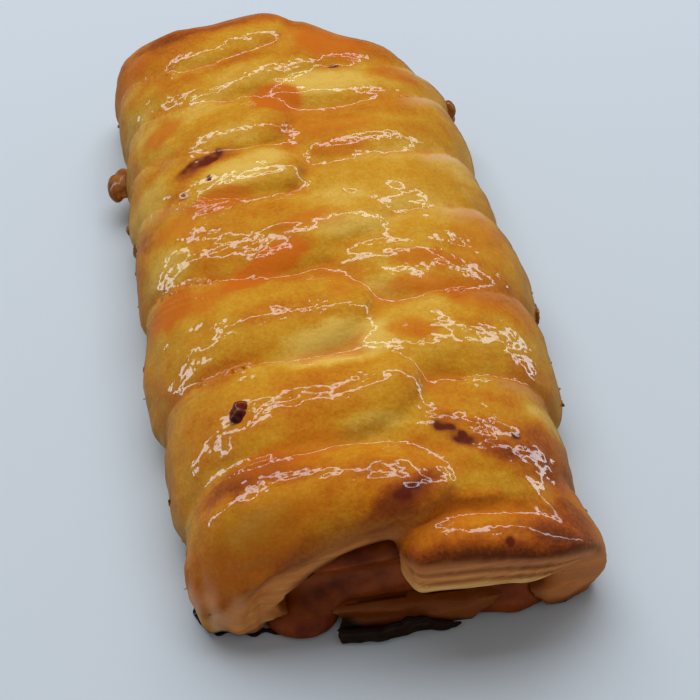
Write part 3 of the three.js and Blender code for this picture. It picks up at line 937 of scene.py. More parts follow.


# Where the glaze, the oven and the juice left their colours, and some painted shade in creases and
# on near slopes, seen from above:
# across, along, half sizes in mm along and over the patch, its turn in degrees, its strength
colourPlan = {
    "orange": [
        (-14, 66.8, 11, 3.6, 27, 1.2), (-34, 63, 6, 4.5, 10, 0.9), (-2.6, 120.5, 5.8, 5.4, 8, 1.6),
        (13, 140, 10, 6.5, -28, 0.9), (-30, 117, 5, 3.5, 20, 0.7), (-20, 88.5, 7.5, 3.2, 15, 0.85),
        (-16, 18.5, 13, 3.2, 10, 0.55), (20, 58, 11, 2.8, 0, 0.7), (-10, 152, 20, 3, 0, 0.5),
        (6, 110, 14, 3.4, 0, 0.5), (-36, 143, 7, 5, 25, 0.6), (2, 60, 7, 3, 60, 0.4),
        (34, 74, 6, 10, 0, 0.35), (12, 14, 6, 3, 10, 0.3), (12, 1, 10, 5, -6, 0.15),
        (9, 102, 7, 3, 0, 0.5), (-30, 84, 7, 3, 20, 0.5), (24, 119, 9, 3, 0, 0.4),
        (27, 129, 6, 4, 0, 0.45), (13, 46, 5, 3, 0, 0.5), (-3, 78, 6, 2.6, 15, 0.6),
        (19, 65.5, 7, 2.6, -10, 0.5), (0, 78, 6, 2.6, 0, 0.35), (-26, 61.6, 6, 2.6, 20, 0.6),
        (27, 53, 6, 2.4, 0, 0.5), (-25, 5, 14, 5, 12, 0.5),
    ],
    "pale": [
        (-14, 97, 14, 5, 22, 1.0), (-3, 43.5, 12, 5, 12, 1.3), (-20, 121, 10, 3.6, 20, 0.5),
        (10, 126, 13, 4.2, -3, 0.9), (7, 75.5, 9, 3.4, 5, 0.85), (22, 99, 9, 3, -5, 0.4),
        (30, 44, 9, 4, 0, 0.35), (-23, 7.5, 9, 2.8, 8, 0.6), (22, 82, 11, 3.5, 0, 0.4),
        (-4, 69, 8, 3, 25, 0.4), (20, 9, 10, 2.6, -3, 0.55), (-8, 130, 9, 5, 10, 0.7),
        (31, 99, 7, 5, 0, 0.55), (-9, 143.5, 9, 4, 8, 0.65), (36, 97, 4, 6, 0, 0.6),
        (-35, 98, 6, 5, 15, 0.8), (5, 85, 9, 4, 0, 0.5), (-34, 74, 5, 5, 0, 0.7),
        (0, 23, 7, 3, 10, 0.7), (-13, 93.5, 8, 2.6, 20, 0.5), (-31, 111, 6, 3, 15, 0.5),
        (-18, 138, 7, 3, 10, 0.55), (-14, 110, 8, 3, 15, 0.55), (-34, 119, 4, 5, 0, 0.5),
        (36, 27, 4, 4, 0, 0.5), (-33, 130, 5, 4, 0, 0.4), (-9.4, 107, 6, 2.4, 10, 0.6),
        (9.4, 59, 6, 2.4, 0, 0.5), (-11.4, 124, 6, 2.6, 0, 0.5), (5, 131.6, 6, 2.6, 0, 0.4),
        (-6, 92, 6, 2.4, 15, 0.5), (17, 3.4, 6, 2.4, 0, 0.45), (-36.5, 126, 4, 6, 0, 0.7),
        (-36.5, 140, 4, 6, 0, 0.6),
    ],
    # some browns here are painted shade, in creases and on near slopes that face away from the
    # light
    "brown": [
        (2, 6.5, 8, 2.8, 25, 1.0), (33, -3, 8, 6, 0, 0.75), (17, -5.5, 19, 3.0, -6, 0.85),
        (34, 17, 8, 7, -15, 0.75), (-24, -1, 14, 3, 12, 0.35), (33, 56, 6, 7, 0, 0.5),
        (36, 36, 5, 6, 0, 0.35), (21, 17, 7, 2.8, -20, 1.0), (-8, 8, 14, 4, 15, 0.3),
        (19.5, 65, 8, 3, -12, 0.55), (-16, 151, 24, 3.4, 5, 0.8), (24, 140, 9, 4, -30, 0.5),
        (14, 114, 16, 2.5, 0, 0.4), (-27, 16.5, 8, 2.6, 14, 0.7), (-33, 146, 6, 5, 0, 0.3),
        (-27, 42, 7, 3, 10, 0.5), (8, 148, 6, 3, -22, 0.65), (24, 56, 7, 2.6, 0, 0.6),
        (-26, 131.5, 7, 2.6, 12, 0.45), (-14, 53, 8, 2.6, 10, 0.35), (9, 102, 6, 2.6, 0, 0.35),
        (27, 128, 6, 3, 0, 0.3), (13, 45.5, 5, 2.6, 0, 0.35), (21, 21.6, 5, 2.4, -15, 0.8),
        (27, 28.4, 5, 2.4, 0, 0.5), (-24, 15.8, 10, 2.6, 8, 0.95), (30.6, 31.6, 6, 3, 0, 0.5),
        (-21.6, 101, 7, 2.6, 24, 0.5), (7.6, 106.6, 6, 2.2, 0, 0.3),
        (21.6, 64, 6, 2.4, 0, 0.4), (35, 4.5, 4, 4, 0, 0.6), (16.5, 22.3, 5, 2.2, -15, 0.7),
        (-17, 13.6, 6, 2, 10, 0.5), (27, 47, 5, 2.4, 0, 0.45), (11, 17.9, 5, 2.2, 0, 0.4),
    ],
    "burnt": [
        (-22, 102.2, 6.6, 2.0, 24, 1.0), (-21.3, 95.5, 0.6, 0.8, 0, 1.4),
        (-28, 93, 1.0, 0.9, 0, 0.7),
        (13, 21.3, 3.0, 1.7, -25, 0.85), (16, 18.7, 3.2, 2.0, -35, 1.0),
        (26.5, 19.3, 1.9, 1.5, 0, 0.85),
        (19.9, -3.1, 1.2, 1.1, 0, 1.6), (13, 131.5, 1.8, 0.5, 0, 0.9),
        (3.6, 6.8, 4.4, 2.2, 30, 1.0), (8, 9.8, 2.6, 1.3, 30, 0.8),
        (-2, 4.2, 3.4, 1.5, 25, 0.6), (-18.5, 105.6, 1.2, 0.4, 20, 0.7),
        (-37.5, 86, 2, 4, 0, 0.5),
    ],
}
crustTone = {
    "base": 0.41,
    "strips": (12.9, 0.05),   # how they differ from each other: by which turn, how much
    "cloud": (13.0, 0.10),    # spacing in mm and depth of the slow changes
    "mottle": ((6.4, 4.0, 4.0), 0.07),
    "nearEnd": 0.17,          # painted shade: browner towards the open end, which faces away from the light
    "farEnd": 0.08,
    "sides": 0.02,
    "shaded": 0.06,           # painted shade: the near slopes, which face away from the light, browner and redder
    "leftWallTops": ((0, 30, 55, 66, 92, 102, 125, 150), (16, 18, 27, 14, 14, 28, 27, 22)),
    "orangeEdge": (1.25, 0.7),    # where orange patches begin and are whole
    "poolsAndCreaseShade": 0.6,             # how orange the hollows are: glaze that pooled there, and painted shade in the creases
    "hollowRounds": 25,       # how smooth the skin is against which hollows are measured
    "poolPlaces": 17.0,       # mm between the places where it pooled
    "wander": (3.2, 0.96, 0.35),      # spacing by which patches' edges wander, how far, and burns'
    "finerWander": (0.4, 0.5),    # and finer waves on it: shares of spacing and reach
    "pale": -0.33,            # what the patches of the plan do to the tone
    "brown": 0.34,
    # the strips' far rims near the walls: dry dough, painted lighter with a painted sheen
    "rim": -0.1,
    "rimSheens": (0.25, 0.3, 6.0, 0.8, 0.35),    # on the left, near the open end; their unevenness
    "pleats": (2.4, 5.0, 16.0),
    "dry": (0.9, 0.5, 0.35),  # the left walls, the right ones, and what the far right adds
    "rightWallTops": (18, 25),    # mm up to which walls are dry, near and far
    "wallTops": (6.0, 5, 13),     # how they wander, and over how many mm the dry dough ends
    # the dark foot, painted shade all round where it meets the floor and singed juice at the
    # corner: up to how many mm all round, at the corner; its wander's spacing and depth; the fade
    "singedAndShadedFoot": (1.3, 2.8, 3.0, 0.6, 1.1),
    "burntSpeckle": (1.5, 0.8, 0.5),
    "firstStrip": (0.35, 0.65),       # the leaves' levels on the first left strip's cut face
    "outerEnd": (0.8, 0.3, (6.0, 6.0, 1.6)),    # and on the outer end, with their spacing
}


# How far the skin lies below its smoothed surroundings, in mm
def hollows(net, points, normals):
    smoothed = points
    for turn in range(crustTone["hollowRounds"]):
        smoothed = net.mean(smoothed)
    return ((smoothed - points) * normals).sum(1)


def patchShare(points, patch, edge):
    across, along, halfLong, halfWide, turn, strength = patch
    angle = math.radians(turn)
    dx = points[:, 0] - across
    dy = points[:, 1] - along
    longways = (dx * math.cos(angle) + dy * math.sin(angle)) / halfLong
    over = (dy * math.cos(angle) - dx * math.sin(angle)) / halfWide
    far = np.hypot(longways, over)
    return strength * smooth(edge[0], edge[1], far)


def planShare(points, patches, edge=(1.45, 0.45)):
    share = np.zeros(len(points))
    for patch in patches:
        share = np.maximum(share, patchShare(points, patch, edge))
    return share


# Where loose flakes of dough and specks of burnt sugar stick: low on the walls, in places
def flakyShare(points):
    band = zone("flakyAcross", np.abs(points[:, 0])) * zone("flakyAbove", points[:, 2])
    return band * zone("flakyBelow", points[:, 2]) * zone(
        "flakyPlaces", noise(points, flakes["placesApart"], 61))


def paintCrust(mesh, strips):
    points = pointsOf(mesh)
    normals = normalsOf(mesh)
    across, along, height = points.T
    aside = np.abs(across)
    at = stripValues(strips, points)
    net = Net(mesh)

    def waves(spacing, seed):
        return np.stack([noise(points, spacing, seed), noise(points, spacing, seed + 1)], 1)

    spacing, reach, burntReach = crustTone["wander"]
    finer, share = crustTone["finerWander"]
    drift = waves(spacing, 21) + share * waves(spacing * finer, 23)

    def moved(reach):
        return np.column_stack([points[:, :2] + drift * reach, height])

    wandered = moved(reach)
    top = zone("top", height)
    outerEnd = outerEndShare(points, normals)
    cut = np.maximum(cutFaceShare(points, at), outerEnd)
    spacing, depth = crustTone["cloud"]
    tone = crustTone["base"] + noise(points, spacing, 25) * depth
    spacing, depth = crustTone["mottle"]
    tone += noise(points, spacing, 26) * depth
    turn, depth = crustTone["strips"]
    tone += np.sin(at["strip"] * turn) * depth
    # painted shade: the crust is browner towards the open end, which faces away from the light
    tone += crustTone["nearEnd"] * zone("nearShade", along)
    tone += crustTone["farEnd"] * zone("farHeat", along)
    # painted shade: slopes that face the open end are painted browner
    tone += crustTone["shaded"] * zone("nearSlope", normals[:, 1]) * top
    tone += crustTone["sides"] * zone("sideHeat", aside)
    for patches in ("pale", "brown"):
        tone += crustTone[patches] * planShare(wandered, colourPlan[patches])
    orange = planShare(wandered, colourPlan["orange"], crustTone["orangeEdge"]) * top
    # the hollows: pooled glaze and painted crease shade, both painted orange
    pooledAndShaded = zone("hollow", hollows(net, points, normals)) * top
    pooledAndShaded *= zone("pooledPlaces", noise(points, crustTone["poolPlaces"], 28))
    orange = np.maximum(orange, crustTone["poolsAndCreaseShade"] * pooledAndShaded)
    burnt = planShare(moved(burntReach), colourPlan["burnt"]) * zone("burntAbove", height)
    spacing, mean, depth = crustTone["burntSpeckle"]
    burnt *= mean + depth * noise(points, spacing, 29)
    onRight = zone("rightHalf", across)
    # painted sheen: the far rims of the strips near the walls are painted lighter and pinkish,
    # over dry dough
    onLeft, nearby, spacing, mean, depth = crustTone["rimSheens"]
    rimSheenAndPleats = zone("rimFar", at["u"]) * zone("rimAcross", aside)
    rimSheenAndPleats *= (at["away"] < relief["stripReach"]) * mix(onLeft, 1, onRight) * (
        mean + depth * noise(points, spacing, 33))
    rimSheenAndPleats *= mix(nearby, 1, zone("rimWhole", along)) * zone("rimFrom", along)
    tone += crustTone["rim"] * rimSheenAndPleats
    pleats = zone("pleatPlaces", noise(points, crustTone["pleats"], 34))
    pleats *= zone("pleatAcross", across)
    rimSheenAndPleats = np.maximum(rimSheenAndPleats, pleats * zone("pleatAlong", along) * zone("pleatBelow", height))
    leftDry, rightDry, more = crustTone["dry"]
    dry = mix(leftDry, rightDry, onRight) + more * onRight * zone("dryFar", along)
    dry *= zone("dryFrom", along)
    high = mix(*crustTone["rightWallTops"], zone("wallFar", along))
    high = np.where(across < 0, np.interp(along, *crustTone["leftWallTops"]), high)
    spacing, depth, fade = crustTone["wallTops"]
    high += depth * noise(points, spacing, 30)
    wall = zone("wallSteep", normals[:, 2]) * smooth(high, high - fade, height) * dry
    level = np.clip(at["v"] * 0.5 + 0.5, 0, 1)
    least, rest = crustTone["firstStrip"]
    level = np.where(at["strip"] < 0.5, least + rest * level, level)
    mean, depth, spacing = crustTone["outerEnd"]
    level = mix(level, mean + depth * noise(points, spacing, 35), outerEnd)
    # painted shade: undersides near the mouth, and the mouth's recess and lip, which are also
    # soaked with juice, are painted dark reddish brown
    shadeAndSoaked = zone("insideUnder", normals[:, 2]) * zone("insideAbove", height)
    shadeAndSoaked *= zone("insideAcross", aside) * (1 - cut)
    shadeAndSoaked = np.maximum(shadeAndSoaked, soakedAndShadedShare(points, at) * (1 - outerEnd))
    # the dark foot: painted shade in a thin line all round where the crust meets the floor, and
    # singed juice, thicker, at the shut corner
    corner = zone("singedLeft", across) * zone("singedNear", along)
    allRound, atCorner, spacing, depth, fade = crustTone["singedAndShadedFoot"]
    foot = mix(allRound, atCorner, corner) + noise(points, spacing, 27) * depth
    for name, values in {
            "tone": tone, "orange": orange, "burnt": burnt, "wall": wall, "cutFace": cut,
            "level": level, "shade": shadeAndSoaked, "singedAndShadedFoot": smooth(foot, foot - fade, height),
            "flaky": flakyShare(points), "rim": rimSheenAndPleats}.items():
        if name != "burnt":    # burns stay sharp
            values = net.mean(values)
        writeValues(mesh, name, np.clip(values, 0, 1))
    for name in stripFields:
        if name in mesh.attributes:
            mesh.attributes.remove(mesh.attributes[name])


# sRGB hex to the linear colour that the shaders want
def colour(text):
    values = [int(text[i:i + 2], 16) / 255 for i in (1, 3, 5)]
    linear = [c / 12.92 if c <= 0.04045 else ((c + 0.055) / 1.055) ** 2.4 for c in values]
    return (*linear, 1.0)


def newMaterial(name):
    material = bpy.data.materials.new(name)
    material.use_nodes = True
    material.node_tree.nodes.clear()
    return material, material.node_tree


def rampOf(tree, share, stops):
    ramp = addNode(tree, "ShaderNodeValToRGB", {"Fac": share})
    elements = ramp.color_ramp.elements
    for place, text in stops[1:-1]:
        elements.new(place).color = colour(text)
    elements[0].position, elements[0].color = stops[0][0], colour(stops[0][1])
    elements[-1].position, elements[-1].color = stops[-1][0], colour(stops[-1][1])
    return ramp.outputs["Color"]


def blended(tree, share, a, b):
    return addNode(tree, "ShaderNodeMix", {0: share, 6: a, 7: b}, data_type="RGBA").outputs[2]


def valueOf(tree, name):
    return addNode(tree, "ShaderNodeAttribute", attribute_name=name).outputs["Fac"]


def grainOf(tree, spacing, detail=2.0, roughness=0.5, stretch=(1, 1, 1)):
    where = addNode(tree, "ShaderNodeTexCoord").outputs["Object"]
    scaled = addNode(tree, "ShaderNodeMapping", {"Vector": where, "Scale": stretch}).outputs[0]
    return addNode(tree, "ShaderNodeTexNoise", {
        "Vector": scaled, "Scale": 1 / (spacing * mm), "Detail": detail,
        "Roughness": roughness}).outputs["Fac"]


def finishMaterial(tree, look):
    shader = addNode(tree, "ShaderNodeBsdfPrincipled", look)
    addNode(tree, "ShaderNodeOutputMaterial", {"Surface": shader.outputs[0]})


def bumpOf(tree, strength, depth, height):
    return addNode(tree, "ShaderNodeBump", {
        "Strength": strength, "Distance": depth * mm, "Height": height}).outputs[0]


# Puff pastry, egg-washed, baked golden and brushed with warm apricot glaze: a pale to brown
# crust under a clear, wet-looking amber coat, thickest in the creases
crustLook = {
    "pale": "#e5bb54", "gold": "#d2981e", "amber": "#c67404", "brown": "#a04c06",
    "dark": "#662a06", "orange": "#d06c04", "halo": "#a4500c", "burnt": "#641f08",
    # rim: dry dough with a painted sheen
    "wall": "#ae8038", "fold": "#d6ae74", "rim": "#dcb08a", "cut": "#e8984e",
    # the last two: the foot, singed and painted with the shade where it meets the floor; and the
    # painted shade of undersides and of the mouth, on juice-soaked dough
    "cutTop": "#cc8048", "cutFoot": "#fccb7c", "singedAndShadedFoot": "#180b06", "shadeAndSoaked": "#904a18",
}


def crustMaterial(look):
    material, tree = newMaterial("glazed puff pastry")

    def calculate(operation, a, b, clamp=False):
        return maths(tree, operation, a, b, clamp)

    def around(spacing, *settings):
        return calculate("SUBTRACT", grainOf(tree, spacing, *settings), 0.5)

    carried = {name: valueOf(tree, name) for name in (
        "tone", "orange", "burnt", "wall", "cutFace", "level", "shade", "singedAndShadedFoot", "rim")}
    cloud = around(3.4, 2)
    tone = calculate("ADD", carried["tone"], calculate("MULTIPLY", around(0.8, 4, 0.75), 0.5))
    tone = calculate("ADD", tone, calculate("MULTIPLY", cloud, 0.22))
    base = rampOf(tree, tone, [
        (0.1, look["pale"]), (0.36, look["gold"]), (0.56, look["amber"]),
        (0.78, look["brown"]), (0.98, look["dark"])])
    folds = rampOf(tree, grainOf(tree, 2.2, 2, 0.5, (1, 1.6, 0.3)), [
        (0.4, look["wall"]), (0.7, look["fold"])])
    leaf = around(1.6, 2, 0.5, (0.2, 0.2, 1.6))
    leaves = rampOf(tree, calculate("ADD", carried["level"], leaf), [
        (0.05, look["cutFoot"]), (0.4, look["cut"]), (0.85, look["cutTop"])])
    # orange: glaze patches, and hollows with pooled glaze and painted crease shade
    glazed = calculate("ADD", carried["orange"], calculate("MULTIPLY", cloud, 0.3))
    glazed = calculate(
        "MULTIPLY", glazed, calculate("GREATER_THAN", carried["orange"], 0.02), True)
    singeing = rampOf(tree, carried["burnt"], [(0.15, look["halo"]), (0.85, look["burnt"])])
    dots = calculate("SUBTRACT", grainOf(tree, 0.45, 1), 0.72, True)
    for share, over in (
            (carried["wall"], folds),
            # painted sheen on the dry rims
            (calculate("MULTIPLY", carried["rim"], 0.85), colour(look["rim"])),
            (carried["cutFace"], leaves),
            (glazed, colour(look["orange"])),
            (calculate("MULTIPLY", carried["burnt"], 1.3, True), singeing),
            # painted shade of undersides and of the mouth's recess, with juice-soaked dough
            (carried["shade"], colour(look["shadeAndSoaked"])),
            # the dark foot: singed juice, and painted shade along the floor
            (carried["singedAndShadedFoot"], colour(look["singedAndShadedFoot"])),
            (calculate("MULTIPLY", dots, 2.4, True), colour(look["brown"]))):
        base = blended(tree, share, base, over)
    dry = calculate("MAXIMUM", carried["wall"], carried["cutFace"])
    dry = calculate("MAXIMUM", dry, carried["rim"])
    wet = calculate("SUBTRACT", 1.0, calculate("MULTIPLY", dry, 0.85))
    # in places the coat is crackled, and everywhere it is uneven
    crackled = calculate("MULTIPLY", around(8.0, 1), 5, True)
    crackle = calculate(
        "MULTIPLY", calculate("MULTIPLY", crackled, 0.4), grainOf(tree, 1.2, 0.5))
    coat = calculate("ADD", grainOf(tree, 4.4, 2.2, 0.45), crackle)
    finishMaterial(tree, {
        "Base Color": base, "Roughness": 0.5, "IOR": 1.45, "Specular IOR Level": 0.15,
        "Subsurface Weight": 0.08, "Subsurface Radius": (1.0, 0.5, 0.15),
        "Subsurface Scale": 1.4 * mm,
        "Coat Weight": wet, "Coat Roughness": 0.055, "Coat IOR": 1.48,
        "Normal": bumpOf(tree, 0.8, 0.22, grainOf(tree, 0.9, 4, 0.65)),
        "Coat Normal": bumpOf(tree, 1.0, 0.32, coat)})
    return material


def finishPiece(mesh, name, material, node=None):
    movePoints(mesh, placed(pointsOf(mesh)))
    mesh.materials.clear()
    mesh.materials.append(material)
    for face in mesh.polygons:
        face.material_index = 0
    mesh.shade_smooth()
    piece = objectOf(mesh, name)
    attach(piece, "root")
    if node:
        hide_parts(node)
    triangles = sum(len(face.vertices) - 2 for face in mesh.polygons)
    print(name, "has", triangles, "triangles")
    return piece


# Small pieces of baked juice and sugar, in the loaf's measures: centres and half sizes of lobes
leakedJuice = {
    "leftLobes": [((-42.9, 120.2, 7.2), (2.1, 4.2, 2.6)), ((-40.7, 121.0, 8.0), (2.3, 4.5, 2.9))],
    "rightLobes": [((41.2, 134.1, 10.1), (3.0, 2.8, 2.7)), ((41.8, 132.2, 9.4), (2.0, 2.2, 2.0))],
    "play": 0.3, "voxel": 0.3, "smoothing": 6, "lump": (2.2, 0.22),
    "amber": "#c87e2c", "deep": "#94501a",
}


def blobMesh(lobes, settings, seed):
    parts = [lumpPart(centre, np.array(size)) for centre, size in lobes]
    mesh, points = fused(joined("blob", parts), settings["voxel"], settings["smoothing"])
    spacing, height = settings["lump"]
    points += normalsOf(mesh) * (noise(points, spacing, seed) * height)[:, None]
    keepAboveFloor(mesh, points)
    return mesh


# Set glaze that ran down the walls, and a bead of dark jam on top. They lie on the crust, so only
# across and along are given, the height on a wall, and the half sizes.
drips = {
    "walls": [
        (-1, 95.0, 8.0, (1.3, 2.7, 1.8)), (-1, 61.5, 7.5, (1.1, 2.0, 1.6)),
        (-1, 106.0, 8.0, (0.8, 1.4, 1.2)), (-1, 89.5, 8.5, (0.8, 1.2, 1.1)),
        (1, 66.0, 8.0, (1.1, 3.0, 2.4)), (1, 46.0, 6.0, (0.8, 1.6, 1.3)),
        (1, 130.4, 15.0, (1.8, 2.3, 2.3)),
    ],
    "jam": [(-25.4, 29.6, (1.9, 1.9, 1.1)), (-24.9, 31.4, (1.7, 1.4, 1.0)),
            (-25.7, 28.0, (1.3, 1.1, 0.9))],
    "voxel": 0.25, "smoothing": 6, "lump": (1.4, 0.3), "near": 1.2, "nearOnTop": 1.0,
    "clear": "#c07c18", "clearDeep": "#8a4a0a", "red": "#8a2a0c", "redDeep": "#3c0e06",
}


# The outermost point of the crust at a height on a wall, and the highest one at a place on top
def onWall(points, side, along, height):
    close = np.abs(points[:, 1:] - (along, height)).max(1) < drips["near"]
    beside = points[close & (points[:, 0] * side > 0)]
    return beside[np.argmax(beside[:, 0] * side)]


def onTop(points, across, along):
    away = np.hypot(points[:, 0] - across, points[:, 1] - along)
    above = points[away < drips["nearOnTop"]]
    return above[np.argmax(above[:, 2])]


# The flakes: small bent chips of dough that Geometry Nodes scatter over the flaky places
flakes = {
    "perSquareMm": 0.055, "seed": 5, "size": 0.85, "spread": (0.5, 1.5), "thickness": 0.22,
    "rim": 9, "rimThickness": 0.06, "outline": (0.75, 0.25, 0.7, 0.12), "narrow": 0.7,
    "bend": 0.3, "clear": 0.05, "placesApart": 9.0, "pale": "#c79652", "brown": "#5e3010",
}


def flakePart(settings):
    count = settings["rim"]
    turn = np.arange(count) / count * 2 * math.pi
    mean, twice, turned, thrice = settings["outline"]
    reach = mean + twice * np.sin(turn * 2 + turned) + thrice * np.sin(turn * 3)
    rim = np.stack([
        reach * np.cos(turn), settings["narrow"] * reach * np.sin(turn),
        settings["bend"] * reach ** 2], 1)
    edge = (0, 0, settings["rimThickness"])
    upper = np.concatenate([[[0, 0, settings["thickness"]]], rim + edge])
    lower = np.concatenate([[[0, 0, 0]], rim - edge])
    faces = []
    for k in range(count):
        a = k + 1
        b = (k + 1) % count + 1
        faces += [[0, a, b], [count + 1, count + 1 + b, count + 1 + a]]
        faces.append([a, count + 1 + a, count + 1 + b, b])
    return outwards(np.concatenate([upper, lower]), faces)


def flakeTree():
    tree, given = newTree("scatteredFlakes", [
        ("Crust", "Geometry"), ("Flake", "Object"), ("Density", "Float"), ("Smallest", "Float"),
        ("Largest", "Float"), ("Seed", "Int"), ("Dough", "Material")])
    flaky = addNode(
        tree, "GeometryNodeInputNamedAttribute", {"Name": "flaky"}, data_type="FLOAT")
    density = maths(tree, "MULTIPLY", flaky.outputs["Attribute"], given["Density"])
    places = addNode(tree, "GeometryNodeDistributePointsOnFaces", {
        "Mesh": given["Crust"], "Density": density, "Seed": given["Seed"]})
    turn = addNode(
        tree, "FunctionNodeRandomValue", {1: (2 * math.pi,) * 3, "Seed": given["Seed"]},
        data_type="FLOAT_VECTOR")
    size = addNode(
        tree, "FunctionNodeRandomValue",
        {2: given["Smallest"], 3: given["Largest"], "Seed": given["Seed"]}, data_type="FLOAT")
    flake = addNode(tree, "GeometryNodeObjectInfo", {"Object": given["Flake"]})
    placedFlakes = addNode(tree, "GeometryNodeInstanceOnPoints", {
        "Points": places.outputs["Points"], "Instance": flake.outputs["Geometry"],
        "Rotation": turn.outputs[0], "Scale": size.outputs[1]})
    return endTree(tree, placedFlakes.outputs[0], given["Dough"])


# The places where flakes stick, with their faces in an order of their own: the cuts may list the
# crust's faces in another order each time, and the scattering follows the order
def flakyPlaces(mesh):
    points = pointsOf(mesh)
    flaky = readValues(mesh, "flaky")
    faces = []
    for face in mesh.polygons:
        corners = list(face.vertices)
        if flaky[corners].any():
            places = points[corners].tolist()
            first = places.index(min(places))
            faces.append((places[first:] + places[:first], corners[first:] + corners[:first]))
    places = meshOf("flakyPlaces", points, [corners for key, corners in sorted(faces)])
    writeValues(places, "flaky", flaky)
    return places


def flakesMesh(places, settings, finish):
    chip = objectOf(joined("flake", [flakePart(settings)]), "flake")
    smallest, largest = [settings["size"] * share for share in settings["spread"]]
    mesh = madeBy(flakeTree(), objectOf(places, "scattering"), {
        "Flake": chip, "Density": settings["perSquareMm"], "Smallest": smallest,
        "Largest": largest, "Seed": settings["seed"], "Dough": finish})
    bpy.data.objects.remove(chip)
    keepAboveFloor(mesh, pointsOf(mesh), settings["clear"])
    return mesh


def beadSpaceMeshes(settings):
    return [
        joined("beadSpace", [lumpPart(centre, np.array(size) + settings["play"])])
        for lobes in (settings["leftLobes"], settings["rightLobes"]) for centre, size in lobes]


crustFinish = crustMaterial(crustLook)
crust, stripSkins = growCrust(crustMaking, crustFinish)
for space in appleSpaceMeshes() + beadSpaceMeshes(leakedJuice):
    crust = cutBy(crust, space)
paintCrust(crust, stripSkins)
crustPoints = pointsOf(crust)
placesForFlakes = flakyPlaces(crust)
finishPiece(crust, "pastryCrust", crustFinish, "pastry")


# Baked juice: clear brown-amber sugar syrup that set, smooth and shining
def juiceMaterial(name, shallow, deep, clear, spacing=2.5):
    material, tree = newMaterial(name)
    finishMaterial(tree, {
        "Base Color": rampOf(tree, grainOf(tree, spacing, 2), [(0.35, deep), (0.65, shallow)]),
        "Roughness": 0.25, "IOR": 1.47, "Specular IOR Level": 0.25,
        "Transmission Weight": clear, "Subsurface Weight": 0.15,
        "Subsurface Radius": (1.0, 0.4, 0.1), "Subsurface Scale": 1.5 * mm,
        "Coat Weight": 0.6, "Coat Roughness": 0.06,
        "Normal": bumpOf(tree, 0.4, 0.2, grainOf(tree, 1.2, 2))})
    return material


juiceFinish = juiceMaterial("baked juice", leakedJuice["amber"], leakedJuice["deep"], 0.3)
for lobes, seed, name, node in (
        ("leftLobes", 41, "leakedBeadLeft", "leaked_juice_left"),
        ("rightLobes", 42, "leakedBeadRight", "leaked_juice_right")):
    bead = blobMesh(leakedJuice[lobes], leakedJuice, seed)
    finishPiece(bead, name, juiceFinish, node)

glazeFinish = juiceMaterial("set apricot glaze", drips["clear"], drips["clearDeep"], 0.45)
wallDrips = [
    (onWall(crustPoints, side, along, height), size)
    for side, along, height, size in drips["walls"]]
finishPiece(blobMesh(wallDrips, drips, 43), "glazeDrips", glazeFinish)
jamFinish = juiceMaterial("dark jam", drips["red"], drips["redDeep"], 0.15)
jamLobes = [
    (onTop(crustPoints, across, along), size) for across, along, size in drips["jam"]]
finishPiece(blobMesh(jamLobes, drips, 44), "jamBead", jamFinish)


# Toasted flakes: dry, thin and brown at their edges
def flakeMaterial(look):
    material, tree = newMaterial("toasted flakes")
    tint = rampOf(tree, grainOf(tree, 1.5, 2), [(0.4, look["brown"]), (0.62, look["pale"])])
    finishMaterial(tree, {"Base Color": tint, "Roughness": 0.6, "Specular IOR Level": 0.3})
    return material


flakeFinish = flakeMaterial(flakes)
finishPiece(
    flakesMesh(placesForFlakes, flakes, flakeFinish), "crustFlakes", flakeFinish)

# Scorched juice: a crumpled, brittle black strip of burnt sugar that shines where it bends
scorch = {
    "from": -12.4, "to": 12.2, "along": -4.6, "thickness": 1.4, "height": 4.0,
    "lowFrom": 0.6, "lowHeight": 1.9, "bow": 0.6, "ripple": 0.5, "rippleTurn": 7.0,
    "raised": (0.54, 0.7, 1.1),     # the bit that stands up: shares of the length, mm
    "raisedEdge": (0.04, 0.02),     # over which share it rises, outside and inside of that
    "ends": (0.025, 0.16),          # shares of the length over which the ends grow
    "lean": 0.16, "foot": (0.9, 0.09),    # mm by which the left end's foot comes forward, where
    "stations": 80, "ringPoints": 20, "power": 3.2, "voxel": 0.28, "smoothing": 3,
    "crumple": (2.4, 0.34), "crease": (0.9, 0.1), "black": "#080403", "brown": "#220c06",
}
# The thin black skirt of juice that burnt on to the tray round the shut corner
skirt = {
    "path": [(-38.6, 7), (-38.3, 4.4), (-37.7, 2.4), (-36.3, 0.8), (-34, 0), (-30.8, -0.4),
             (-26, -1.0), (-22, -1.8), (-19.5, -2.6)],
    "halfWidth": 0.85, "halfHeight": 0.5, "stations": 80, "ringPoints": 16, "power": 2.2,
    "waves": ((0.35, 23), (0.25, 41)), "lineSteps": 200, "softening": 20, "ends": 0.1,
    "voxel": 0.28, "smoothing": 3, "crumple": (2.2, 0.25), "crease": (0.9, 0.12),
}

thinnest = 0.001    # of a tip, so that its rings don't vanish


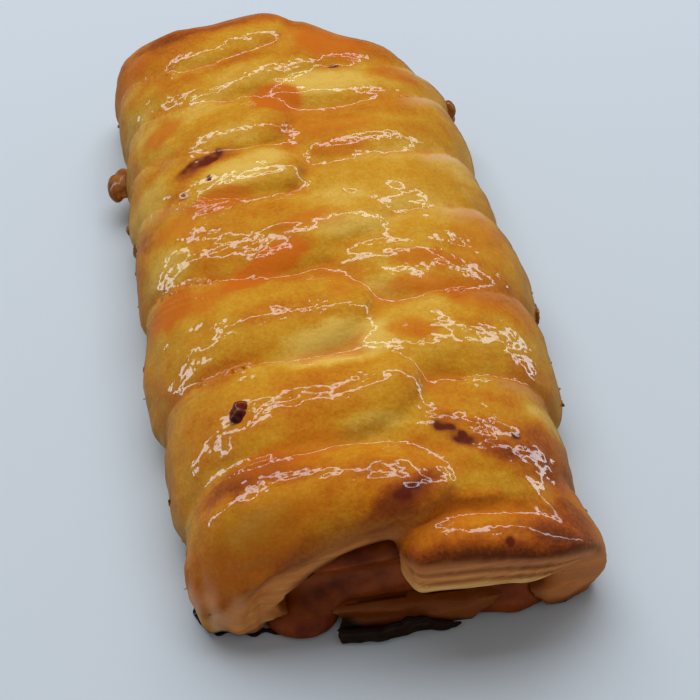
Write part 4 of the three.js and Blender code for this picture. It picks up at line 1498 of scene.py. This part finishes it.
def skirtGuide(settings):
    line = evenly(np.array([(x, y, 0.0) for x, y in settings["path"]]), settings["lineSteps"])[0]
    reach = settings["softening"]
    kernel = np.hanning(2 * reach + 1)
    kernel = kernel / kernel.sum()
    soft = [np.convolve(np.pad(line[:, k], reach, mode="edge"), kernel, "valid") for k in (0, 1)]
    centre = evenly(np.column_stack([*soft, 0 * soft[0]]), settings["stations"])[0]
    forward = headings(centre)
    share = np.linspace(0, 1, settings["stations"])
    tip = np.sqrt(np.clip(np.minimum(share, 1 - share) / settings["ends"], 0, 1))
    tip = np.maximum(tip, thinnest)
    (first, firstTurn), (second, secondTurn) = settings["waves"]
    wide = settings["halfWidth"] * (
        1 + first * np.sin(share * firstTurn) + second * np.sin(share * secondTurn)) * tip
    centre[:, 2] = settings["halfHeight"] * tip
    aside = np.stack([forward[:, 1], -forward[:, 0], forward[:, 2]], 1)
    return guideOf(
        centre, aside * wide[:, None], centre * (0, 0, 1), settings["power"], share)


def scorchGuide(settings):
    share = np.linspace(0, 1, settings["stations"])
    across = mix(settings["from"], settings["to"], share)
    along = settings["along"] - settings["ripple"] * np.sin(share * settings["rippleTurn"])
    along -= settings["bow"] * np.sin(share * math.pi)
    height = mix(settings["height"], settings["lowHeight"], smooth(settings["lowFrom"], 1, share))
    start, stop, lift = settings["raised"]
    outside, within = settings["raisedEdge"]
    height = height + lift * (
        smooth(start - outside, start + within, share)
        * smooth(stop + outside, stop - within, share))
    leftEnd, rightEnd = settings["ends"]
    tip = np.sqrt(np.clip(share / leftEnd, 0, 1)) * np.sqrt(np.clip((1 - share) / rightEnd, 0, 1))
    tip = np.maximum(tip, thinnest)
    half = height / 2 * tip
    zero = np.zeros(len(share))
    forward, reach = settings["foot"]
    lean = settings["lean"] + forward / settings["height"] * smooth(reach, 0, share)
    return guideOf(
        np.stack([across, along, height / 2], 1), np.stack([zero, half * lean, half], 1),
        np.stack([zero, tip * settings["thickness"] / 2, zero], 1), settings["power"], share,
        half=half)


def scorchMesh(guide, settings, finish):
    swept = sweptAlong([guide], settings, settings["power"], finish)
    mesh, points = fused(swept, settings["voxel"], settings["smoothing"])
    normals = normalsOf(mesh)
    spacing, depth = settings["crumple"]
    points[:, 1] += noise(points * (1, 0, 0.5), spacing, 51) * depth
    spacing, depth = settings["crease"]
    points += normals * (noise(points, spacing, 52) * depth)[:, None]
    keepAboveFloor(mesh, points)
    return mesh


scorchFinish = juiceMaterial("scorched sugar", scorch["brown"], scorch["black"], 0.0, 3.0)
finishPiece(
    scorchMesh(scorchGuide(scorch), scorch, scorchFinish), "scorchedStrip", scorchFinish,
    "scorched_juice")
finishPiece(
    scorchMesh(skirtGuide(skirt), skirt, scorchFinish), "scorchedSkirt", scorchFinish)


# Stewed apple in brown syrup: soft, wet and a little see-through
appleLook = {
    "body": "#a04a14", "deep": "#702a0a", "lump": 6.5, "lumpHeight": 0.5, "lumpFrom": 2,
    "voxel": 0.8, "swell": 0.4, "smoothing": 40,
}


def appleMaterial(look):
    material, tree = newMaterial("stewed apple")
    tint = rampOf(tree, grainOf(tree, 5.0, 3), [(0.35, look["deep"]), (0.65, look["body"])])
    finishMaterial(tree, {
        "Base Color": tint, "Roughness": 0.35, "IOR": 1.42, "Specular IOR Level": 0.3,
        "Subsurface Weight": 0.25, "Subsurface Radius": (1.0, 0.3, 0.1),
        "Subsurface Scale": 2.5 * mm, "Coat Weight": 0.35, "Coat Roughness": 0.1,
        "Normal": bumpOf(tree, 0.5, 0.4, grainOf(tree, 2.2, 2))})
    return material


def appleMesh(look):
    shares = endShares(reach=10, step=1, length=150, between=30)
    parts = [applePart(look["swell"], shares)]
    parts += [
        lumpPart(centre, np.array(size) + look["swell"], 4) for centre, size in apple["oozes"]]
    mesh, points = fused(joined("apple", parts), look["voxel"], look["smoothing"])
    inset = (0.5 - 0.5 * noise(points, look["lump"], 31)) * look["lumpHeight"]
    inset *= smooth(0, look["lumpFrom"], points[:, 2])
    points -= normalsOf(mesh) * inset[:, None]
    keepAboveFloor(mesh, points)
    return mesh


finishPiece(
    appleMesh(appleLook), "stewedApple", appleMaterial(appleLook), "apple_filling")

# The floor and the light: one large soft box above and behind, and a hoop of narrow tubes beyond
# the far end, which draws the thin bright lines on the glaze
studio = {
    "floor": "#cad6e2", "floorShine": "#8a7866",
    "world": "#f2ece6", "worldStrength": 0.32, "worldShine": 0.07,
    "boxPlace": (0.0, 0.7, 1.08), "boxSize": (1.6, 1.1), "boxPower": 17.5,
    "hoopBack": 0.54, "hoopRadius": 0.67, "hoopBow": 0.75,
    "tubeTurns": (-78, -52, -26, 0, 26, 52, 78),
    "tubeSize": (0.3, 0.062), "tubePower": 0.41, "tubeColour": "#e7f7ff",
}


def makeFloor(look):
    size = 6.0
    corners = np.array([[-size, -size, 0], [size, -size, 0], [size, size, 0], [-size, size, 0]])
    mesh = meshOf("floor", corners, [(0, 1, 2, 3)])
    material, tree = newMaterial("pale table")
    shiny = addNode(tree, "ShaderNodeLightPath").outputs["Is Glossy Ray"]
    tint = blended(tree, shiny, colour(look["floor"]), colour(look["floorShine"]))
    finishMaterial(tree, {"Base Color": tint, "Roughness": 0.5, "Specular IOR Level": 0.0})
    mesh.materials.append(material)
    objectOf(mesh, "floor")


def makeAreaLight(name, place, size, power, tint="#ffffff", longWay=(1, 0, 0)):
    data = bpy.data.lights.new(name, "AREA")
    data.shape = "RECTANGLE"
    data.size, data.size_y = size
    data.energy = power
    data.color = colour(tint)[:3]
    light = bpy.data.objects.new(name, data)
    back = Vector(place).normalized()
    up = back.cross(Vector(longWay)).normalized()
    turned = Matrix((up.cross(back), up, back)).transposed().to_4x4()
    light.matrix_world = Matrix.Translation(place) @ turned
    bpy.context.scene.collection.objects.link(light)
    return light


def makeLights(look):
    world = bpy.data.worlds.new("studio")
    world.use_nodes = True
    background = world.node_tree.nodes["Background"]
    background.inputs["Color"].default_value = colour(look["world"])
    shiny = addNode(world.node_tree, "ShaderNodeLightPath").outputs["Is Glossy Ray"]
    dimmed = look["worldShine"] - look["worldStrength"]
    strength = maths(world.node_tree, "ADD", look["worldStrength"], maths(
        world.node_tree, "MULTIPLY", shiny, dimmed))
    world.node_tree.links.new(strength, background.inputs["Strength"])
    bpy.context.scene.world = world
    box = makeAreaLight("softBox", look["boxPlace"], look["boxSize"], look["boxPower"])
    box.visible_glossy = False
    for turn in look["tubeTurns"]:
        sine = math.sin(math.radians(turn))
        cosine = math.cos(math.radians(turn))
        bow = look["hoopBow"] * look["hoopBack"]
        place = (
            look["hoopRadius"] * sine, look["hoopBack"] - bow * sine ** 2,
            look["hoopRadius"] * cosine)
        longWay = (
            look["hoopRadius"] * cosine, -2 * bow * sine * cosine, -look["hoopRadius"] * sine)
        tube = makeAreaLight(
            "tube", place, look["tubeSize"], look["tubePower"], look["tubeColour"], longWay)
        tube.visible_diffuse = False


makeFloor(studio)
makeLights(studio)
